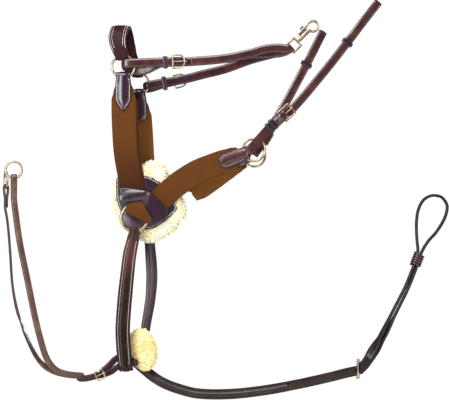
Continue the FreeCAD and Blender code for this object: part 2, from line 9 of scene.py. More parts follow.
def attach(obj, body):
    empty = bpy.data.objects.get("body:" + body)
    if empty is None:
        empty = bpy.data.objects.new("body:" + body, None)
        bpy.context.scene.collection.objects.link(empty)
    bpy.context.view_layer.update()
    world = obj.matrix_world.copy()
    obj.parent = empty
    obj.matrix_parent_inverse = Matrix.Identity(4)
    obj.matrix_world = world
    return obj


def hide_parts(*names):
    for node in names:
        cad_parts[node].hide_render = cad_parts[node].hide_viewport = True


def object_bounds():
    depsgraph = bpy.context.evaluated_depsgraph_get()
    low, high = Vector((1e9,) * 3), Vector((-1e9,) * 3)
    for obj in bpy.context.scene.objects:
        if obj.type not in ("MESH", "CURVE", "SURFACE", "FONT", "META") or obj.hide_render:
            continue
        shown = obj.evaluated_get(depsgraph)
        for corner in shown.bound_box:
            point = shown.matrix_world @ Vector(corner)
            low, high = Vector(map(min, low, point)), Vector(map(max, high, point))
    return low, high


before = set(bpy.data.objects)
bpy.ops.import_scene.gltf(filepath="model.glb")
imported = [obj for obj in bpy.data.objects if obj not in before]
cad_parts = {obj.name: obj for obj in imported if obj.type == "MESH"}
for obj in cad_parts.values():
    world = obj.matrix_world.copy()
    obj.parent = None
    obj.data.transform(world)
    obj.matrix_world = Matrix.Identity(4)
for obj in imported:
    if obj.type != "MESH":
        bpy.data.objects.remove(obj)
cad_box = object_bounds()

# Five-point breastplate. Lengths in the tables are millimetres; meshes are in metres.
MM = 0.001
X, Y, Z = Vector((1, 0, 0)), Vector((0, 1, 0)), Vector((0, 0, 1))

# Widths and thicknesses of the straps, in metres.
THICK, DOUBLE = 0.0028, 0.003
WITHER, FRONT, BELLY_WIDTH = (0.035, 0.0036), (0.029, DOUBLE), (0.021, DOUBLE)
STRAP, CHAPE, REIN = (0.018, THICK), (0.019, THICK), (0.013, THICK)
ELASTIC_WIDTH, TAB_WIDTH = 0.049, 0.032
HOLE_RADIUS = 0.0017
# From one stitch to the next on most seams.
PITCH = 0.0042


# --- Materials -------------------------------------------------------------------------------

class Shader:
    """A node material with small helpers."""

    def __init__(self, name):
        self.mat = bpy.data.materials.new(name)
        self.mat.use_nodes = True
        self.tree = self.mat.node_tree
        self.tree.nodes.clear()
        self.out = self.add("ShaderNodeOutputMaterial")
        self.bsdf = self.add("ShaderNodeBsdfPrincipled")
        self.link(self.bsdf.outputs[0], self.out.inputs[0])

    def add(self, kind, **values):
        node = self.tree.nodes.new(kind)
        for key, value in values.items():
            if hasattr(node, key):
                setattr(node, key, value)
            else:
                node.inputs[key.replace("_", " ")].default_value = value
        return node

    def link(self, a, b):
        self.tree.links.new(a, b)

    def set(self, **values):
        for key, value in values.items():
            self.bsdf.inputs[key.replace("_", " ")].default_value = value

    def space(self, uv, scale):
        """Coordinates in metres, times scale: along and across the strap, or in the object."""
        source = self.add("ShaderNodeTexCoord").outputs["UV" if uv else "Object"]
        mapping = self.add("ShaderNodeMapping")
        mapping.inputs["Scale"].default_value = scale if hasattr(scale, "__len__") else (scale,) * 3
        self.link(source, mapping.inputs[0])
        return mapping.outputs[0]

    def noise(self, where, scale=1.0, detail=4.0, rough=0.55):
        node = self.add("ShaderNodeTexNoise")
        node.inputs["Scale"].default_value = scale
        node.inputs["Detail"].default_value = detail
        node.inputs["Roughness"].default_value = rough
        self.link(where, node.inputs["Vector"])
        return node.outputs["Fac"]

    def ramp(self, fac, *stops):
        node = self.add("ShaderNodeValToRGB")
        ramp = node.color_ramp
        while len(ramp.elements) < len(stops):
            ramp.elements.new(0.5)
        for element, (at, colour) in zip(ramp.elements, stops):
            element.position = at
            element.color = (*colour, 1) if hasattr(colour, "__len__") else (colour,) * 3 + (1,)
        self.link(fac, node.inputs[0])
        return node.outputs[0]

    def feed(self, node, socket, source):
        """Gives an input a link, a colour or a number."""
        if isinstance(source, bpy.types.NodeSocket):
            self.link(source, node.inputs[socket])
        elif hasattr(source, "__len__"):
            node.inputs[socket].default_value = (*source, 1)
        else:
            node.inputs[socket].default_value = source

    def mix(self, fac, a, b):
        node = self.add("ShaderNodeMix", data_type="RGBA")
        for source, socket in ((fac, 0), (a, 6), (b, 7)):
            self.feed(node, socket, source)
        return node.outputs[2]

    def math(self, operation, a, b):
        node = self.add("ShaderNodeMath", operation=operation)
        self.feed(node, 0, a)
        self.feed(node, 1, b)
        return node.outputs[0]

    def attribute(self, name):
        return self.add("ShaderNodeAttribute", attribute_name=name).outputs["Fac"]

    def bump(self, height, distance, strength, before=None):
        node = self.add("ShaderNodeBump")
        node.inputs["Distance"].default_value = distance
        node.inputs["Strength"].default_value = strength
        self.link(height, node.inputs["Height"])
        if before is not None:
            self.link(before, node.inputs["Normal"])
        return node.outputs[0]


def leather(name, dark, mid, light, rough, coat, grain=1.0, specular=0.3, relief=1.0,
            edge_dark=(0.012, 0.008, 0.009)):
    """Bridle leather: fine pebbled grain, cloudy dye, black-dyed edges."""
    s = Shader(name)
    where = s.space(False, 1.0)
    cloud = s.noise(where, 28.0, 5.0, 0.6)
    colour = s.ramp(cloud, (0.3, dark), (0.52, mid), (0.72, light))
    fibre = s.noise(s.space(True, (60, 900, 1)), 1.0, 3.0, 0.6)
    colour = s.mix(s.ramp(fibre, (0.35, 0.0), (0.7, 0.22)), colour, light)
    # Painted highlight: the warm red-brown that the painted value mixes in.
    colour = s.mix(s.attribute("painted_light_and_shade"), colour, (0.14, 0.042, 0.030))
    edge = s.attribute("edge")
    colour = s.mix(edge, colour, edge_dark)
    s.link(colour, s.bsdf.inputs["Base Color"])
    cells = s.add("ShaderNodeTexVoronoi", feature="SMOOTH_F1")
    cells.inputs["Scale"].default_value = 900 * grain
    s.link(where, cells.inputs["Vector"])
    pebble = cells.outputs["Distance"]
    crease = s.noise(where, 240 * grain, 3.0, 0.5)
    shine = s.ramp(crease, (0.3, rough - 0.04), (0.7, rough + 0.06))
    s.link(s.mix(edge, shine, (0.65, 0.65, 0.65)), s.bsdf.inputs["Roughness"])
    face = s.math("SUBTRACT", 1.0, edge)
    s.link(s.math("MULTIPLY", face, coat), s.bsdf.inputs["Coat Weight"])
    normal = s.bump(pebble, 0.00006, 0.3 * relief)
    normal = s.bump(crease, 0.00025, 0.3 * relief, normal)
    s.link(normal, s.bsdf.inputs["Normal"])
    s.set(Coat_Roughness=0.2, Specular_IOR_Level=specular)
    return s.mat


def webbing(name, dark, mid, light):
    """Wide woven elastic: fine ribs along its length, crossed by the covering yarns."""
    s = Shader(name)
    ribs = s.add("ShaderNodeTexWave", wave_type="BANDS", bands_direction="X", wave_profile="SIN")
    ribs.inputs["Scale"].default_value = 1.0
    ribs.inputs["Distortion"].default_value = 0.25
    ribs.inputs["Detail"].default_value = 1.0
    s.link(s.space(True, (250, 250, 1)), ribs.inputs["Vector"])
    picks = s.add("ShaderNodeTexWave", wave_type="BANDS", bands_direction="Y", wave_profile="SIN")
    picks.inputs["Scale"].default_value = 1.0
    picks.inputs["Distortion"].default_value = 0.35
    s.link(s.space(True, (390, 390, 1)), picks.inputs["Vector"])
    weave = s.math("MULTIPLY", ribs.outputs["Fac"], picks.outputs["Fac"])
    fuzz = s.noise(s.space(False, 1.0), 1400.0, 3.0, 0.7)
    cloud = s.noise(s.space(False, 1.0), 16.0, 3.0, 0.5)
    height = s.math("ADD", weave, s.math("MULTIPLY", fuzz, 0.5))
    colour = s.ramp(height, (0.15, dark), (0.55, mid), (1.0, light))
    colour = s.mix(s.ramp(cloud, (0.35, 0.0), (0.75, 0.5)), colour, dark)
    # Painted shadow: the painted value darkens the web towards a deeper copy of its dark tone.
    colour = s.mix(s.attribute("painted_light_and_shade"), colour, (dark[0] * 0.7, dark[1] * 0.6, dark[2] * 0.8))
    colour = s.mix(s.math("MULTIPLY", s.attribute("edge"), 0.6), colour, dark)
    s.link(colour, s.bsdf.inputs["Base Color"])
    s.link(s.bump(height, 0.0006, 0.7), s.bsdf.inputs["Normal"])
    s.set(Roughness=0.85, Sheen_Weight=0.06, Sheen_Roughness=0.45, Specular_IOR_Level=0.12)
    return s.mat


def wool(name, yellow, cream, white):
    """Sheepskin: creamy curls, yellower and darker in the depths as painted shadow."""
    s = Shader(name)
    where = s.space(False, 1.0)
    cloud = s.noise(where, 38.0, 4.0, 0.6)
    fine = s.noise(where, 900.0, 4.0, 0.7)
    colour = s.ramp(cloud, (0.22, yellow), (0.42, cream), (0.7, white))
    depth_shadow = s.attribute("painted_depth_shadow")
    # Painted shadow: deep in the pile the wool turns to its yellow tone.
    colour = s.mix(s.math("MULTIPLY", depth_shadow, 0.4), colour, yellow)
    s.link(colour, s.bsdf.inputs["Base Color"])
    s.link(s.bump(fine, 0.0004, 0.25), s.bsdf.inputs["Normal"])
    s.set(Roughness=0.95, Sheen_Weight=0.9, Sheen_Roughness=0.5, Specular_IOR_Level=0.1)
    return s.mat


def brass(name):
    """Pale polished brass with a soft tarnish and fine scratches."""
    s = Shader(name)
    where = s.space(False, 1.0)
    cloud = s.noise(where, 90.0, 4.0, 0.6)
    scratch = s.noise(s.space(False, (300, 300, 2400)), 1.0, 3.0, 0.7)
    colour = s.ramp(cloud, (0.3, (0.20, 0.145, 0.09)), (0.55, (0.45, 0.35, 0.24)), (0.8, (0.76, 0.67, 0.54)))
    s.link(colour, s.bsdf.inputs["Base Color"])
    s.link(s.ramp(scratch, (0.3, 0.24), (0.75, 0.34)), s.bsdf.inputs["Roughness"])
    s.link(s.bump(scratch, 0.00003, 0.2), s.bsdf.inputs["Normal"])
    s.set(Metallic=1.0)
    return s.mat


def thread(name, colour, sheen=0.2):
    s = Shader(name)
    twist = s.noise(s.space(False, 1.0), 1800.0, 2.0, 0.6)
    dim = tuple(c * 0.72 for c in colour)
    s.link(s.ramp(twist, (0.3, dim), (0.7, colour)), s.bsdf.inputs["Base Color"])
    s.link(s.bump(twist, 0.0002, 0.5), s.bsdf.inputs["Normal"])
    s.set(Roughness=0.7, Sheen_Weight=sheen, Specular_IOR_Level=0.2)
    return s.mat


def plain(name, colour, rough):
    s = Shader(name)
    spots = s.noise(s.space(False, 1.0), 300.0, 3.0)
    dim = tuple(c * 0.96 for c in colour)
    s.link(s.ramp(spots, (0.3, dim), (0.7, colour)), s.bsdf.inputs["Base Color"])
    s.set(Roughness=rough)
    return s.mat


LEATHER = leather("leather", (0.008, 0.0025, 0.004), (0.026, 0.007, 0.010), (0.070, 0.018, 0.020),
                  rough=0.26, coat=0.1)
WITHER_LEATHER = leather("wither_leather", (0.008, 0.0025, 0.004), (0.022, 0.006, 0.008),
                         (0.055, 0.014, 0.015), rough=0.4, coat=0.0, specular=0.09)
DARK_LEATHER = leather("dark_leather", (0.005, 0.0025, 0.0015), (0.010, 0.0045, 0.003), (0.030, 0.010, 0.007),
                       rough=0.28, coat=0.06, specular=0.15)
GLOSSY = leather("glossy_leather", (0.009, 0.003, 0.009), (0.020, 0.006, 0.016), (0.044, 0.013, 0.028),
                 rough=0.22, coat=0.75, grain=0.8)
RUSSET = leather("russet_leather", (0.016, 0.005, 0.006), (0.038, 0.010, 0.011), (0.100, 0.028, 0.024),
                 rough=0.22, coat=0.6)
PLAIN_LEATHER = leather("plain_leather", (0.010, 0.006, 0.005), (0.019, 0.012, 0.010), (0.040, 0.026, 0.022),
                        rough=0.22, coat=0.3, grain=0.9, specular=0.18, relief=0.3)
PLUM_LEATHER = leather("plum_leather", (0.018, 0.009, 0.011), (0.036, 0.020, 0.023), (0.070, 0.042, 0.048),
                       rough=0.22, coat=0.3, grain=0.9, relief=0.4)
LOOP_LEATHER = leather("loop_leather", (0.008, 0.005, 0.006), (0.015, 0.010, 0.011), (0.030, 0.020, 0.022),
                       rough=0.26, coat=0.12, grain=0.9, specular=0.15, relief=0.1)
REIN_LEATHER = leather("rein_leather", (0.032, 0.012, 0.008), (0.070, 0.030, 0.018), (0.140, 0.070, 0.050),
                       rough=0.22, coat=0.5, grain=0.9, edge_dark=(0.050, 0.032, 0.026))
ELASTIC = webbing("elastic", (0.060, 0.017, 0.003), (0.110, 0.035, 0.004), (0.162, 0.064, 0.012))
# A lighter copy of the elastic for the far webs: painted light that makes up for the shadow the near parts
# cast on them.
ELASTIC_PAINTED_LIGHT = webbing("elastic_painted_light", (0.098, 0.031, 0.005), (0.175, 0.064, 0.010), (0.240, 0.105, 0.022))
WOOL = wool("sheepskin", (0.95, 0.74, 0.32), (1.0, 0.92, 0.60), (1.0, 0.98, 0.82))
YELLOW_WOOL = wool("yellow_sheepskin", (0.95, 0.56, 0.13), (1.0, 0.77, 0.30), (1.0, 0.92, 0.52))
BRASS = brass("brass")
THREAD = thread("thread", (0.86, 0.80, 0.78))
TAN_THREAD = thread("tan_thread", (0.60, 0.52, 0.49))
LILAC_THREAD = thread("lilac_thread", (0.46, 0.38, 0.44))
BROWN_THREAD = thread("brown_thread", (0.045, 0.020, 0.018), 0.0)
# Near-black painted shadow standing in for the depth of a punched hole.
HOLE_SHADOW = plain("punched_hole_shadow", (0.006, 0.004, 0.004), 0.9)
# Lit and shadowed copies of one leather: the near-side straps get the redder, glossier russet as painted
# light, and their far-side copies get the darker leather.
LIT_AND_SHADOWED_SIDE_LEATHER = {"near": RUSSET, "far": LEATHER}


# --- Band building ---------------------------------------------------------------------------

def route(stations, across, step, closed=False):
    """Smooth samples (point, share, side, tangent, distance), in metres, through stations in millimetres.
    A station is (x, y, z, share of the width, optional direction across)."""
    points = [Vector(s[:3]) * MM for s in stations]
    shares = [s[3] if len(s) > 3 else 1.0 for s in stations]
    sides = [Vector(s[4]) if len(s) > 4 else (Vector(across) if across is not None else None)
             for s in stations]
    n = len(points)
    if closed:
        points.append(points[0].copy())
        shares.append(shares[0])
        sides.append(sides[0])
        n += 1
    knots = [0.0]
    for a, b in zip(points, points[1:]):
        knots.append(knots[-1] + max((b - a).length, 1e-7))

    def slope(values, i):
        if closed and i in (0, n - 1):
            return (values[1] - values[n - 2]) / (knots[1] - knots[0] + knots[n - 1] - knots[n - 2])
        a, b = max(i - 1, 0), min(i + 1, n - 1)
        return (values[b] - values[a]) / (knots[b] - knots[a])

    for i in range(n):
        if sides[i] is None:
            sides[i] = slope(points, i).cross(Y).normalized()
    found = []
    for i in range(n - 1):
        gap = knots[i + 1] - knots[i]
        count = max(1, int(math.ceil(gap / (step * MM))))
        p0, p1 = points[i], points[i + 1]
        m0, m1 = slope(points, i) * gap, slope(points, i + 1) * gap
        for k in range(count + (1 if i == n - 2 and not closed else 0)):
            t = k / count
            h00, h10 = 2 * t**3 - 3 * t**2 + 1, t**3 - 2 * t**2 + t
            h01, h11 = -2 * t**3 + 3 * t**2, t**3 - t**2
            p = p0 * h00 + m0 * h10 + p1 * h01 + m1 * h11
            ease = t * t * (3 - 2 * t)
            share = shares[i] + (shares[i + 1] - shares[i]) * ease
            side = sides[i].lerp(sides[i + 1], ease)
            found.append([p, share, side])
    samples, distance = [], 0.0
    last = len(found) - 1
    for i, (p, share, side) in enumerate(found):
        if closed:
            tangent = (found[(i + 1) % len(found)][0] - found[i - 1][0]).normalized()
        else:
            tangent = (found[min(i + 1, last)][0] - found[max(i - 1, 0)][0]).normalized()
        side = (side - tangent * side.dot(tangent)).normalized()
        if i:
            distance += (p - found[i - 1][0]).length
        samples.append((p, share, side, tangent, distance))
    return samples


def mesh_object(name, verts, faces, material, uvs=None, attributes=None, smooth=True):
    mesh = bpy.data.meshes.new(name)
    mesh.from_pydata([tuple(v) for v in verts], [], faces)
    mesh.update()
    if uvs is not None:
        layer = mesh.uv_layers.new(name="UVMap")
        loops = np.zeros(len(mesh.loops), int)
        mesh.loops.foreach_get("vertex_index", loops)
        layer.data.foreach_set("uv", np.array(uvs, float)[loops].ravel())
    for key, values in (attributes or {}).items():
        mesh.attributes.new(key, "FLOAT", "POINT").data.foreach_set("value", np.array(values, float))
    if smooth:
        mesh.polygons.foreach_set("use_smooth", [True] * len(mesh.polygons))
    mesh.materials.append(material)
    obj = bpy.data.objects.new(name, mesh)
    bpy.context.scene.collection.objects.link(obj)
    return obj


def section(width, thick, crest, groove, inset, dome=0.25, corner=0.0012, edged=True):
    """Half-profile heights of a strap's face: rounded edges, a crest between stitch grooves.
    The crest rises over dome of the width from each groove; edged marks the dyed rims."""
    rows = []
    half, r = width / 2, min(thick * 0.46, corner)
    stops = [-half, -half + 0.12 * r, -half + 0.4 * r, -half + r]
    inner = 18 if crest or groove else 8
    for k in range(1, inner):
        stops.append(-half + r + (width - 2 * r) * k / inner)
    stops += [half - r, half - 0.4 * r, half - 0.12 * r, half]
    for a in stops:
        d = half - abs(a)
        h = thick / 2
        if d < r:
            h -= r - math.sqrt(max(r * r - (r - d) ** 2, 0))
        if crest and d > inset:
            t = min((d - inset) / max(dome * width - inset, 1e-6), 1)
            h += crest * math.sin(t * math.pi / 2)
        if groove and inset:
            h -= groove * math.exp(-((d - inset) / 0.0007) ** 2)
        rows.append((a, h, max(0.0, 1 - d / 0.0011) if edged else 0.0))
    return rows


def swept(rows, ring, closed=False, start=0):
    """Quads between rows of ring vertices."""
    faces = []
    for i in range(rows if closed else rows - 1):
        j = (i + 1) % rows
        for k in range(ring):
            m = (k + 1) % ring
            faces.append(tuple(start + v for v in (i * ring + k, i * ring + m, j * ring + m, j * ring + k)))
    return faces


def capped(rows, ring):
    """A swept tube with both ends filled."""
    return swept(rows, ring) + [tuple(range(ring))[::-1], tuple((rows - 1) * ring + k for k in range(ring))]


def tip_share(distance, length, kind, width):
    """How an end narrows: round, point or flat."""
    reach = {"round": width / 2, "point": width * 0.75, "flat": 0.0006}[kind]
    d = min(distance, length - distance)
    if d >= reach:
        return 1.0
    t = 1 - d / reach
    if kind == "point":
        return max(0.12, 1 - t**1.5 * 0.88)
    if kind == "flat":
        return 1 - 0.06 * t
    return max(0.16, math.sqrt(max(1 - t * t, 0)))


def band(name, samples, width, thick, material, crest=0.0, groove=0.0, inset=0.0022,
         ends=("flat", "flat"), closed=False, both=False, painted_light_and_shade=None, wander=0.0, dome=0.25,
         corner=0.0012, edged=True):
    """A strap swept along samples. Sizes in metres."""
    total = samples[-1][4]
    verts, uvs, edges, painted_light_and_shade_values = [], [], [], []
    ring = 0
    for p, share, side, tangent, distance in samples:
        kind = ends[0] if distance < total / 2 else ends[1]
        w = width * share * (1.0 if closed else tip_share(distance, total, kind, width * share))
        up = tangent.cross(side)
        rows = section(w, thick, crest * min(1, share), groove, min(inset, w * 0.3), dome, corner, edged)
        back = rows if both else section(w, thick, 0, 0, inset, dome, corner, edged)
        if wander:
            p = p + up * wander * noise.noise(p * 40)
        loop = rows + [(a, -h, e) for a, h, e in reversed(back)]
        ring = len(loop)
        for a, h, e in loop:
            verts.append(p + side * a + up * h)
            uvs.append((a, distance))
            edges.append(e)
            # Painted light and shadow along the strap: with this value a leather warms towards a painted
            # highlight, and a web darkens into painted shadow.
            painted_light_and_shade_values.append(painted_light_and_shade(distance / total) if painted_light_and_shade else 0.0)
    faces = swept(len(samples), ring, True) if closed else capped(len(samples), ring)
    return mesh_object(name, verts, faces, material, uvs, {"edge": edges, "painted_light_and_shade": painted_light_and_shade_values})


# A stitch: six-sided rings (share of its length, share of its radius).
CAPSULE_RINGS = ((-0.5, 0.25), (-0.36, 0.8), (0.0, 1.0), (0.36, 0.8), (0.5, 0.25))
CAPSULE = [(reach, r * math.cos(k * math.pi / 3), r * math.sin(k * math.pi / 3))
           for reach, r in CAPSULE_RINGS for k in range(6)]
CAPSULE_FACES = capped(len(CAPSULE_RINGS), 6)


def capsules(name, places, long, thick, material):
    """Many small threads in one mesh: places of (centre, direction, up)."""
    verts, faces = [], []
    for centre, along, up in places:
        side = along.cross(up)
        base = len(verts)
        for a, b, c in CAPSULE:
            verts.append(centre + along * (a * long) + side * (b * thick / 2) + up * (c * thick / 2))
        faces += [tuple(base + i for i in f) for f in CAPSULE_FACES]
    return mesh_object(name, verts, faces, material)


def along(samples, start, end, spacing):
    """Evenly spaced (point, share, side, tangent) between two distances."""
    found, want, i = [], start, 0
    while want <= end and i < len(samples) - 1:
        while i < len(samples) - 2 and samples[i + 1][4] < want:
            i += 1
        a, b = samples[i], samples[i + 1]
        t = (want - a[4]) / max(b[4] - a[4], 1e-9)
        side = a[2].lerp(b[2], t).normalized()
        tangent = a[3].lerp(b[3], t).normalized()
        found.append((a[0].lerp(b[0], t), a[1] + (b[1] - a[1]) * t, side, tangent))
        want += spacing
    return found


def stitch_line(samples, width, thick, offsets, start, end, spacing, faces=(1,), lift=0.0):
    """Places for stitches in lines; each of offsets gives a line's place from the strap's width."""
    places = []
    for p, share, side, tangent in along(samples, start, end, spacing):
        up = tangent.cross(side)
        for offset in offsets:
            a = offset(width * share)
            for face in faces:
                places.append((p + side * a + up * face * (thick / 2 + lift), tangent, up * face))
    return places


def edge_lines(inset):
    return [lambda w: w / 2 - inset, lambda w: inset - w / 2]


def add(obj, body, slot, *nodes):
    """Rides a piece on its body and hides the CAD solids that it stands for; slot is not used."""
    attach(obj, body)
    if nodes:
        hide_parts(*nodes)


def sew(name, samples, size, inset, margins, body, slot, look=None, spacing=PITCH, **kinds):
    """Stitches both edges of a strap. size: width and thickness; margins: bare length at each end;
    look: a stitch's length, thickness and thread."""
    long, thick, thread_mat = look or (0.0031, 0.0008, BROWN_THREAD)
    end = samples[-1][4] - margins[1]
    places = stitch_line(samples, *size, edge_lines(inset), margins[0], end, spacing, **kinds)
    add(capsules(name + "_stitches", places, long, thick, thread_mat), body, slot)


# The look of fine stitches, and how they lie sunk in both faces.
FINE = (0.0031, 0.0007, BROWN_THREAD)
SUNK = {"faces": (1, -1), "lift": -0.00015}


def near_face(samples):
    """Which face of a strap, 1 or -1, looks to the near side at its start."""
    return 1 if samples[0][3].cross(samples[0][2]).y < 0 else -1


def bearing(degrees):
    """Directions along and across a strap that lies at an angle in the hanging plane."""
    a = math.radians(degrees)
    return Vector((math.cos(a), 0, math.sin(a))), Vector((-math.sin(a), 0, math.cos(a)))


# --- Wither strap, tabs and elastics ---------------------------------------------------------

# From a ring's centre to the middle of its wire.
RING = 22.4
NEAR_WITHER, FAR_WITHER = Vector((5, -30, -76)), Vector((32, 28, -108))
NEAR_GIRTH, FAR_GIRTH = Vector((266, -30, -242)), Vector((267, 30, -252))


def fold(centre, out, lean, reach, hold, share, across, steps=8):
    """Stations of a half turn round centre, by way of out, ending on the side of lean."""
    found = []
    for i in range(steps + 1):
        a = math.pi * (i / steps - 0.5)
        p = centre + out * (reach * math.cos(a)) + lean * (hold * math.sin(a))
        found.append((p.x, p.y, p.z, share, across))
    return found


def half_turn(wire, heading, radius, slack, share, across, near_first=True):
    """A fold round a wire, with its tip against heading, from the near layer back."""
    found = fold(wire, -heading, Y, radius + slack, radius, share, across)
    return found if near_first else found[::-1]


def wither_strap():
    """The padded strap over the withers: an outer and an inner layer, folded round both rings."""
    outer, inner = [], []
    for a in (168, 145, 120, 90, 60, 35, 12):
        t = math.radians(a)
        x = -8 + 16 * (180 - a) / 180
        for layer, bend in ((outer, 27.4), (inner, 23.6)):
            layer.append((x, bend * math.cos(t), -22 + bend * math.sin(t), 1.0))
    outer = [(-1, -35.0, -47, 0.8), (-4, -33.4, -37, 0.88), (-6.4, -30.6, -27, 0.96)] + outer
    outer += [(11, 30.2, -34, 0.96), (17, 31.4, -55, 0.86), (27, 32.4, -76, 0.7)]
    inner = [(-1, -25.4, -47, 0.8), (-4, -26.4, -37, 0.88), (-6.4, -25.8, -27, 0.96)] + inner
    inner += [(11, 26.0, -34, 0.96), (17, 25.6, -55, 0.86), (27, 24.0, -76, 0.7)]
    near = NEAR_WITHER + Z * RING
    far = FAR_WITHER + Z * RING
    start = half_turn(near - X * 3, Z, 4.9, 3.2, 0.74, -X)
    end = half_turn(far, Z, 4.9, 3.2, 0.62, -X, False)
    stations = start[::-1] + outer + end + inner[::-1]
    samples = route(stations, -X, 2.4, closed=True)
    add(band("wither_strap_leather", samples, *WITHER, WITHER_LEATHER, crest=0.0011, groove=0.0005,
             inset=0.0058, closed=True), "harness", "leather", "wither_strap")
    outer_run = route(outer, -X, 2.4)
    end = outer_run[-1][4]
    places = stitch_line(outer_run, *WITHER, edge_lines(0.0066), 0.012, end - 0.014, 0.0036, lift=0.0002)
    places += stitch_line(outer_run, *WITHER, edge_lines(0.0022), 0.006, end - 0.004, 0.0036)
    add(capsules("wither_stitches", places, 0.0035, 0.0009, THREAD), "harness", "leather")
    middle = [(x, (y0 + y1) / 2, (z0 + z1) / 2, share * 0.93)
              for (x, y0, z0, share), (_, y1, z1, _) in zip(outer, inner)]
    add(band("wither_padding", route(middle, X, 3.0), WITHER[0], 0.0026, LEATHER), "harness", "leather")


def tab(node, centre, angle, long, end, width=TAB_WIDTH, material=None, thread_mat=None):
    """A glossy leather tab folded through its ring and stitched over the elastic's end."""
    away, across = bearing(angle)
    if across.cross(away).y > 0:
        across = -across
    wire = centre + away * RING
    near, far = [], []
    for reach in (long, long - 7, long - 15, 14):
        p = wire + away * reach
        lie = 3.1 + (0.8 if reach == 14 else 0)
        near.append((p.x, p.y - lie, p.z, 0.98, across))
        far.append((p.x, p.y + lie, p.z, 0.98, across))
    turn = half_turn(wire, away, 4.6, 3.8, 0.9, across)
    samples = route(near + turn + far[::-1], None, 2.0)
    total, inset = samples[-1][4], 0.0030
    widths = [width * s[1] * tip_share(s[4], total, end, width) for s in samples]
    verts, uvs, edges = [], [], []
    for (p, share, side, tangent, distance), w in zip(samples, widths):
        up = tangent.cross(side)
        rows = section(w, THICK, 0.0030, 0.0003, min(inset, w * 0.25), 0.5)
        loop = rows + [(off, -h, e) for off, h, e in reversed(section(w, THICK, 0, 0, inset))]
        fade = max(0.0, min(1.0, 1 - (p / MM - wire).dot(away) / 14))
        for off, h, e in loop:
            mm = abs(off) / MM
            bow = (RING - math.sqrt(max(RING**2 - mm * mm, 1))) * 0.5 * fade
            verts.append(p + side * off + up * h - away * bow * MM)
            uvs.append((off, distance))
            edges.append(e)
    name = node + "_leather"
    faces = capped(len(samples), len(verts) // len(samples))
    marks = {"edge": edges, "painted_light_and_shade": [0.0] * len(verts)}
    add(mesh_object(name, verts, faces, material or GLOSSY, uvs, marks), "harness", "leather", node)
    places = []
    for sign in (1, -1):
        last = None
        for (p, share, side, tangent, distance), w in zip(samples, widths):
            if not 0.004 <= distance < total * 0.5 - 0.012:
                continue
            up = tangent.cross(side)
            q = p + side * (sign * max(w / 2 - inset, 0.0)) + up * 0.0016
            if last is None or (q - last).length > 0.0037:
                direction = (q - last).normalized() if last is not None else tangent
                places.append((q, direction, up))
                last = q
    add(capsules(name + "_stitches", places, 0.0036, 0.0009, thread_mat or THREAD), "harness", "leather")


def elastic(node, stations, painted_shadow_span=None, lining=None, material=None):
    """A wide elastic. darken: the shares of its length between which it turns dark with painted shadow,
    towards the pad;
    lining: how far behind it a second layer hangs, painted dark all over as shadow."""
    painted_light_and_shade = (lambda t: max(0.0, min(1.0, (t - painted_shadow_span[0]) / (painted_shadow_span[1] - painted_shadow_span[0])))) if painted_shadow_span else None
    add(band(node + "_web", route(stations, None, 4.0), ELASTIC_WIDTH, 0.0026, material or ELASTIC,
             painted_light_and_shade=painted_light_and_shade, wander=0.0012), "harness", "webbing", node)
    if lining:
        moved = [(s[0] + lining[0], s[1] + lining[1], s[2] + lining[2], s[3]) for s in stations[2:]]
        # The second layer is painted dark all over as shadow.
        add(band(node + "_web_lining", route(moved, None, 5.0), ELASTIC_WIDTH, 0.0022, ELASTIC,
                 painted_light_and_shade=lambda t: 0.85), "harness", "webbing")


wither_strap()
tab("neck_tab_near", NEAR_WITHER, -90, 65, "point")
tab("neck_tab_far", FAR_WITHER, -86, 54, "round")
# The near girth tab takes the redder russet leather as a painted highlight, where its far twin keeps the
# glossy leather.
tab("girth_tab_near", NEAR_GIRTH, 201, 52, "round", 0.029, RUSSET, LILAC_THREAD)
tab("girth_tab_far", FAR_GIRTH, 204, 19, "round", 0.022)
elastic("neck_elastic_near", [
    (5, -30, -108, 0.62), (6, -30, -126, 0.84), (6, -30, -142, 1.0), (6, -30, -168, 1.0),
    (7, -28, -198, 1.0), (10, -25, -248, 0.98), (19, -20, -302, 0.96), (24, -18.5, -317, 0.94),
    (28, -18.2, -334, 0.9),
], (0.45, 0.95), (4.5, 3.4, 0))
elastic("neck_elastic_far", [
    (34, 28, -140, 0.62), (35, 28, -158, 0.84), (36, 28, -174, 1.0), (37.5, 28, -194, 1.0),
    (38.5, 27, -208, 1.0), (40, 23, -232, 1.0), (42, 19, -262, 1.0), (48, 16, -302, 0.96),
    (52, 16, -328, 0.9),
], material=ELASTIC_PAINTED_LIGHT)
elastic("girth_elastic_near", [
    (236, -30, -253, 0.7), (222, -30, -257, 0.8), (204, -30, -265, 0.94), (183, -30, -273, 0.96),
    (152, -27.5, -286, 0.98), (121, -24, -305, 0.98), (96, -20, -325, 0.98), (78, -18.5, -342, 0.95),
    (66, -18.2, -354, 0.9),
], (0.75, 1.2))
elastic("girth_elastic_far", [
    (248, 30, -262, 0.62), (228, 30, -269.5, 0.84), (208, 30, -281, 0.94), (200, 30, -286.5, 0.95),
    (185, 28, -297, 0.98), (152, 24.2, -319.5, 0.98), (149.5, 23.8, -317.5, 0.62), (147, 23.5, -316, 0.5),
    (121, 21, -311, 0.5), (96, 17, -328, 0.5), (74, 16, -344, 0.5),
], material=ELASTIC_PAINTED_LIGHT)


# --- Leather panels and sheepskin ------------------------------------------------------------

